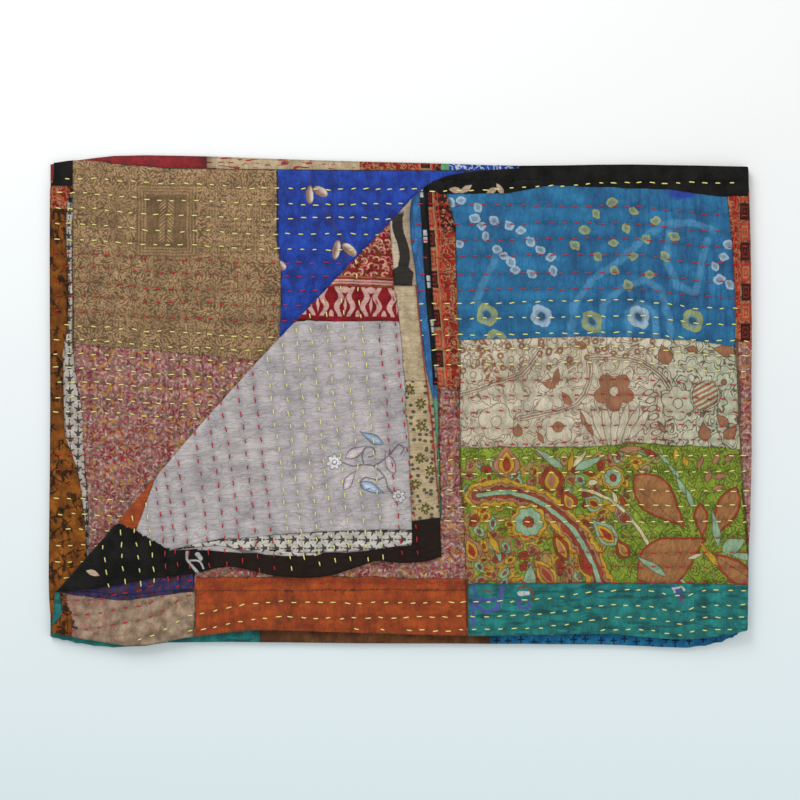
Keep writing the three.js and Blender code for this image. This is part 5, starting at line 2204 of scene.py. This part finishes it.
def thread_material(thread: Thread) -> bpy.types.Material:
    """The thick cotton thread, mottled by a fine noise, and twisted."""
    shades = {Thread.YELLOW: ((216, 208, 92), (250, 246, 168)), Thread.RED: ((150, 18, 30), (214, 40, 50))}
    s = Surface(f"{thread.value}_thread")
    inputs = {"Vector": s.object_place(), "Scale": 420.0, "Detail": 3.0}
    twist = s.node("ShaderNodeTexNoise", inputs).outputs[0]
    bump = s.node("ShaderNodeBump", {"Distance": 0.0003, "Height": twist}).outputs[0]
    return s.shade({"Base Color": s.mix(twist, *shades[thread]), "Roughness": 0.85, "Normal": bump})


# The room, the light and the camera


@dataclass(frozen=True)
class Studio:
    """A pale floor seen from straight above, in soft light, in metres."""

    camera_height: float = 2.4
    surface_height: float = 0.014
    image_span: float = 1.264
    aim: Spot = (-0.0004, 0.0024)
    sensor: float = 36.0
    floor_size: float = 9.0
    floor_middle: Colour = (248, 249, 249)
    floor_near: Colour = (229, 244, 247)
    fade: Spot = (0.5, -0.65)
    lamps: Sequence[tuple[Spot, float, float, float]] = (
        ((-1.2, 2.4), 1.9, 1.6, 58.0),
        ((2.3, -0.4), 2.4, 2.6, 18.0),
    )
    sky_colour: Colour = (255, 255, 255)
    sky: float = 0.58

    def floor(self) -> bpy.types.Object:
        """The floor, a little bluer towards the viewer."""
        bpy.ops.object.select_all(action="DESELECT")
        bpy.ops.mesh.primitive_plane_add(size=self.floor_size, location=(0, 0, 0))
        plane = bpy.context.object
        plane.name = "floor"
        s = Surface("pale_floor")
        down = s.node("ShaderNodeSeparateXYZ", {0: s.object_place()}).outputs["Y"]
        far, near = self.fade
        share = s.node("ShaderNodeMapRange", {"Value": down, "From Min": far, "From Max": near}).outputs[0]
        tint = s.mix(share, self.floor_middle, self.floor_near)
        plane.data.materials.append(s.shade({"Base Color": tint, "Roughness": 0.95}))
        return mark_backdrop(plane) or plane

    def light(self) -> None:
        """Soft lamps from the upper left, and a pale sky."""
        for number, ((x, y), height, size, power) in enumerate(self.lamps):
            lamp = bpy.data.lights.new(f"soft_lamp_{number + 1}", "AREA")
            lamp.energy, lamp.size = power, size
            holder = bpy.data.objects.new(lamp.name, lamp)
            bpy.context.collection.objects.link(holder)
            holder.location = (x, y, height)
            holder.rotation_euler = Vector((-x, -y, -height)).to_track_quat("-Z", "Y").to_euler()
        world = bpy.data.worlds.new("pale_sky")
        world.use_nodes = True
        background = world.node_tree.nodes["Background"]
        background.inputs["Color"].default_value = linear(*self.sky_colour)
        background.inputs["Strength"].default_value = self.sky
        bpy.context.scene.world = world
        bpy.context.scene.view_settings.view_transform = "Standard"

    def camera(self) -> None:
        """The camera, straight above the throw."""
        data = bpy.data.cameras.new("camera")
        data.sensor_width = self.sensor
        data.lens = self.sensor * (self.camera_height - self.surface_height) / self.image_span
        holder = bpy.data.objects.new("camera", data)
        bpy.context.collection.objects.link(holder)
        holder.location = (*self.aim, self.camera_height)
        bpy.context.scene.camera = holder


def main() -> None:
    """Builds the throw and the room around it."""
    logging.basicConfig(level=logging.INFO, format="%(message)s")
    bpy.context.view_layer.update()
    throw = FoldedThrow(ThrowSizes())
    sewing = Sewing(throw, SewingSizes())
    cloths = Cloths(ClothLook())
    cloth = Cloth(throw, sewing, ClothSizes())
    piece = cloth.build("patchwork_throw", {name: cloths.make(name) for name in Print})
    maker = Stitches(throw, sewing, StitchSizes())
    stitches = [maker.build(thread, thread_material(thread), cloth.to_frame) for thread in Thread]
    for part in (piece, *stitches):
        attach(part, "root")
        LOG.info("%s rides on the throw", part.name)
    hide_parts("throw")
    studio = Studio()
    floor = studio.floor()
    flat_w, flat_d = throw.sizes.flat
    flat_w / 1000
    flat_d / 1000
    studio.light()
    studio.camera()


if __name__ == "__main__":
    main()
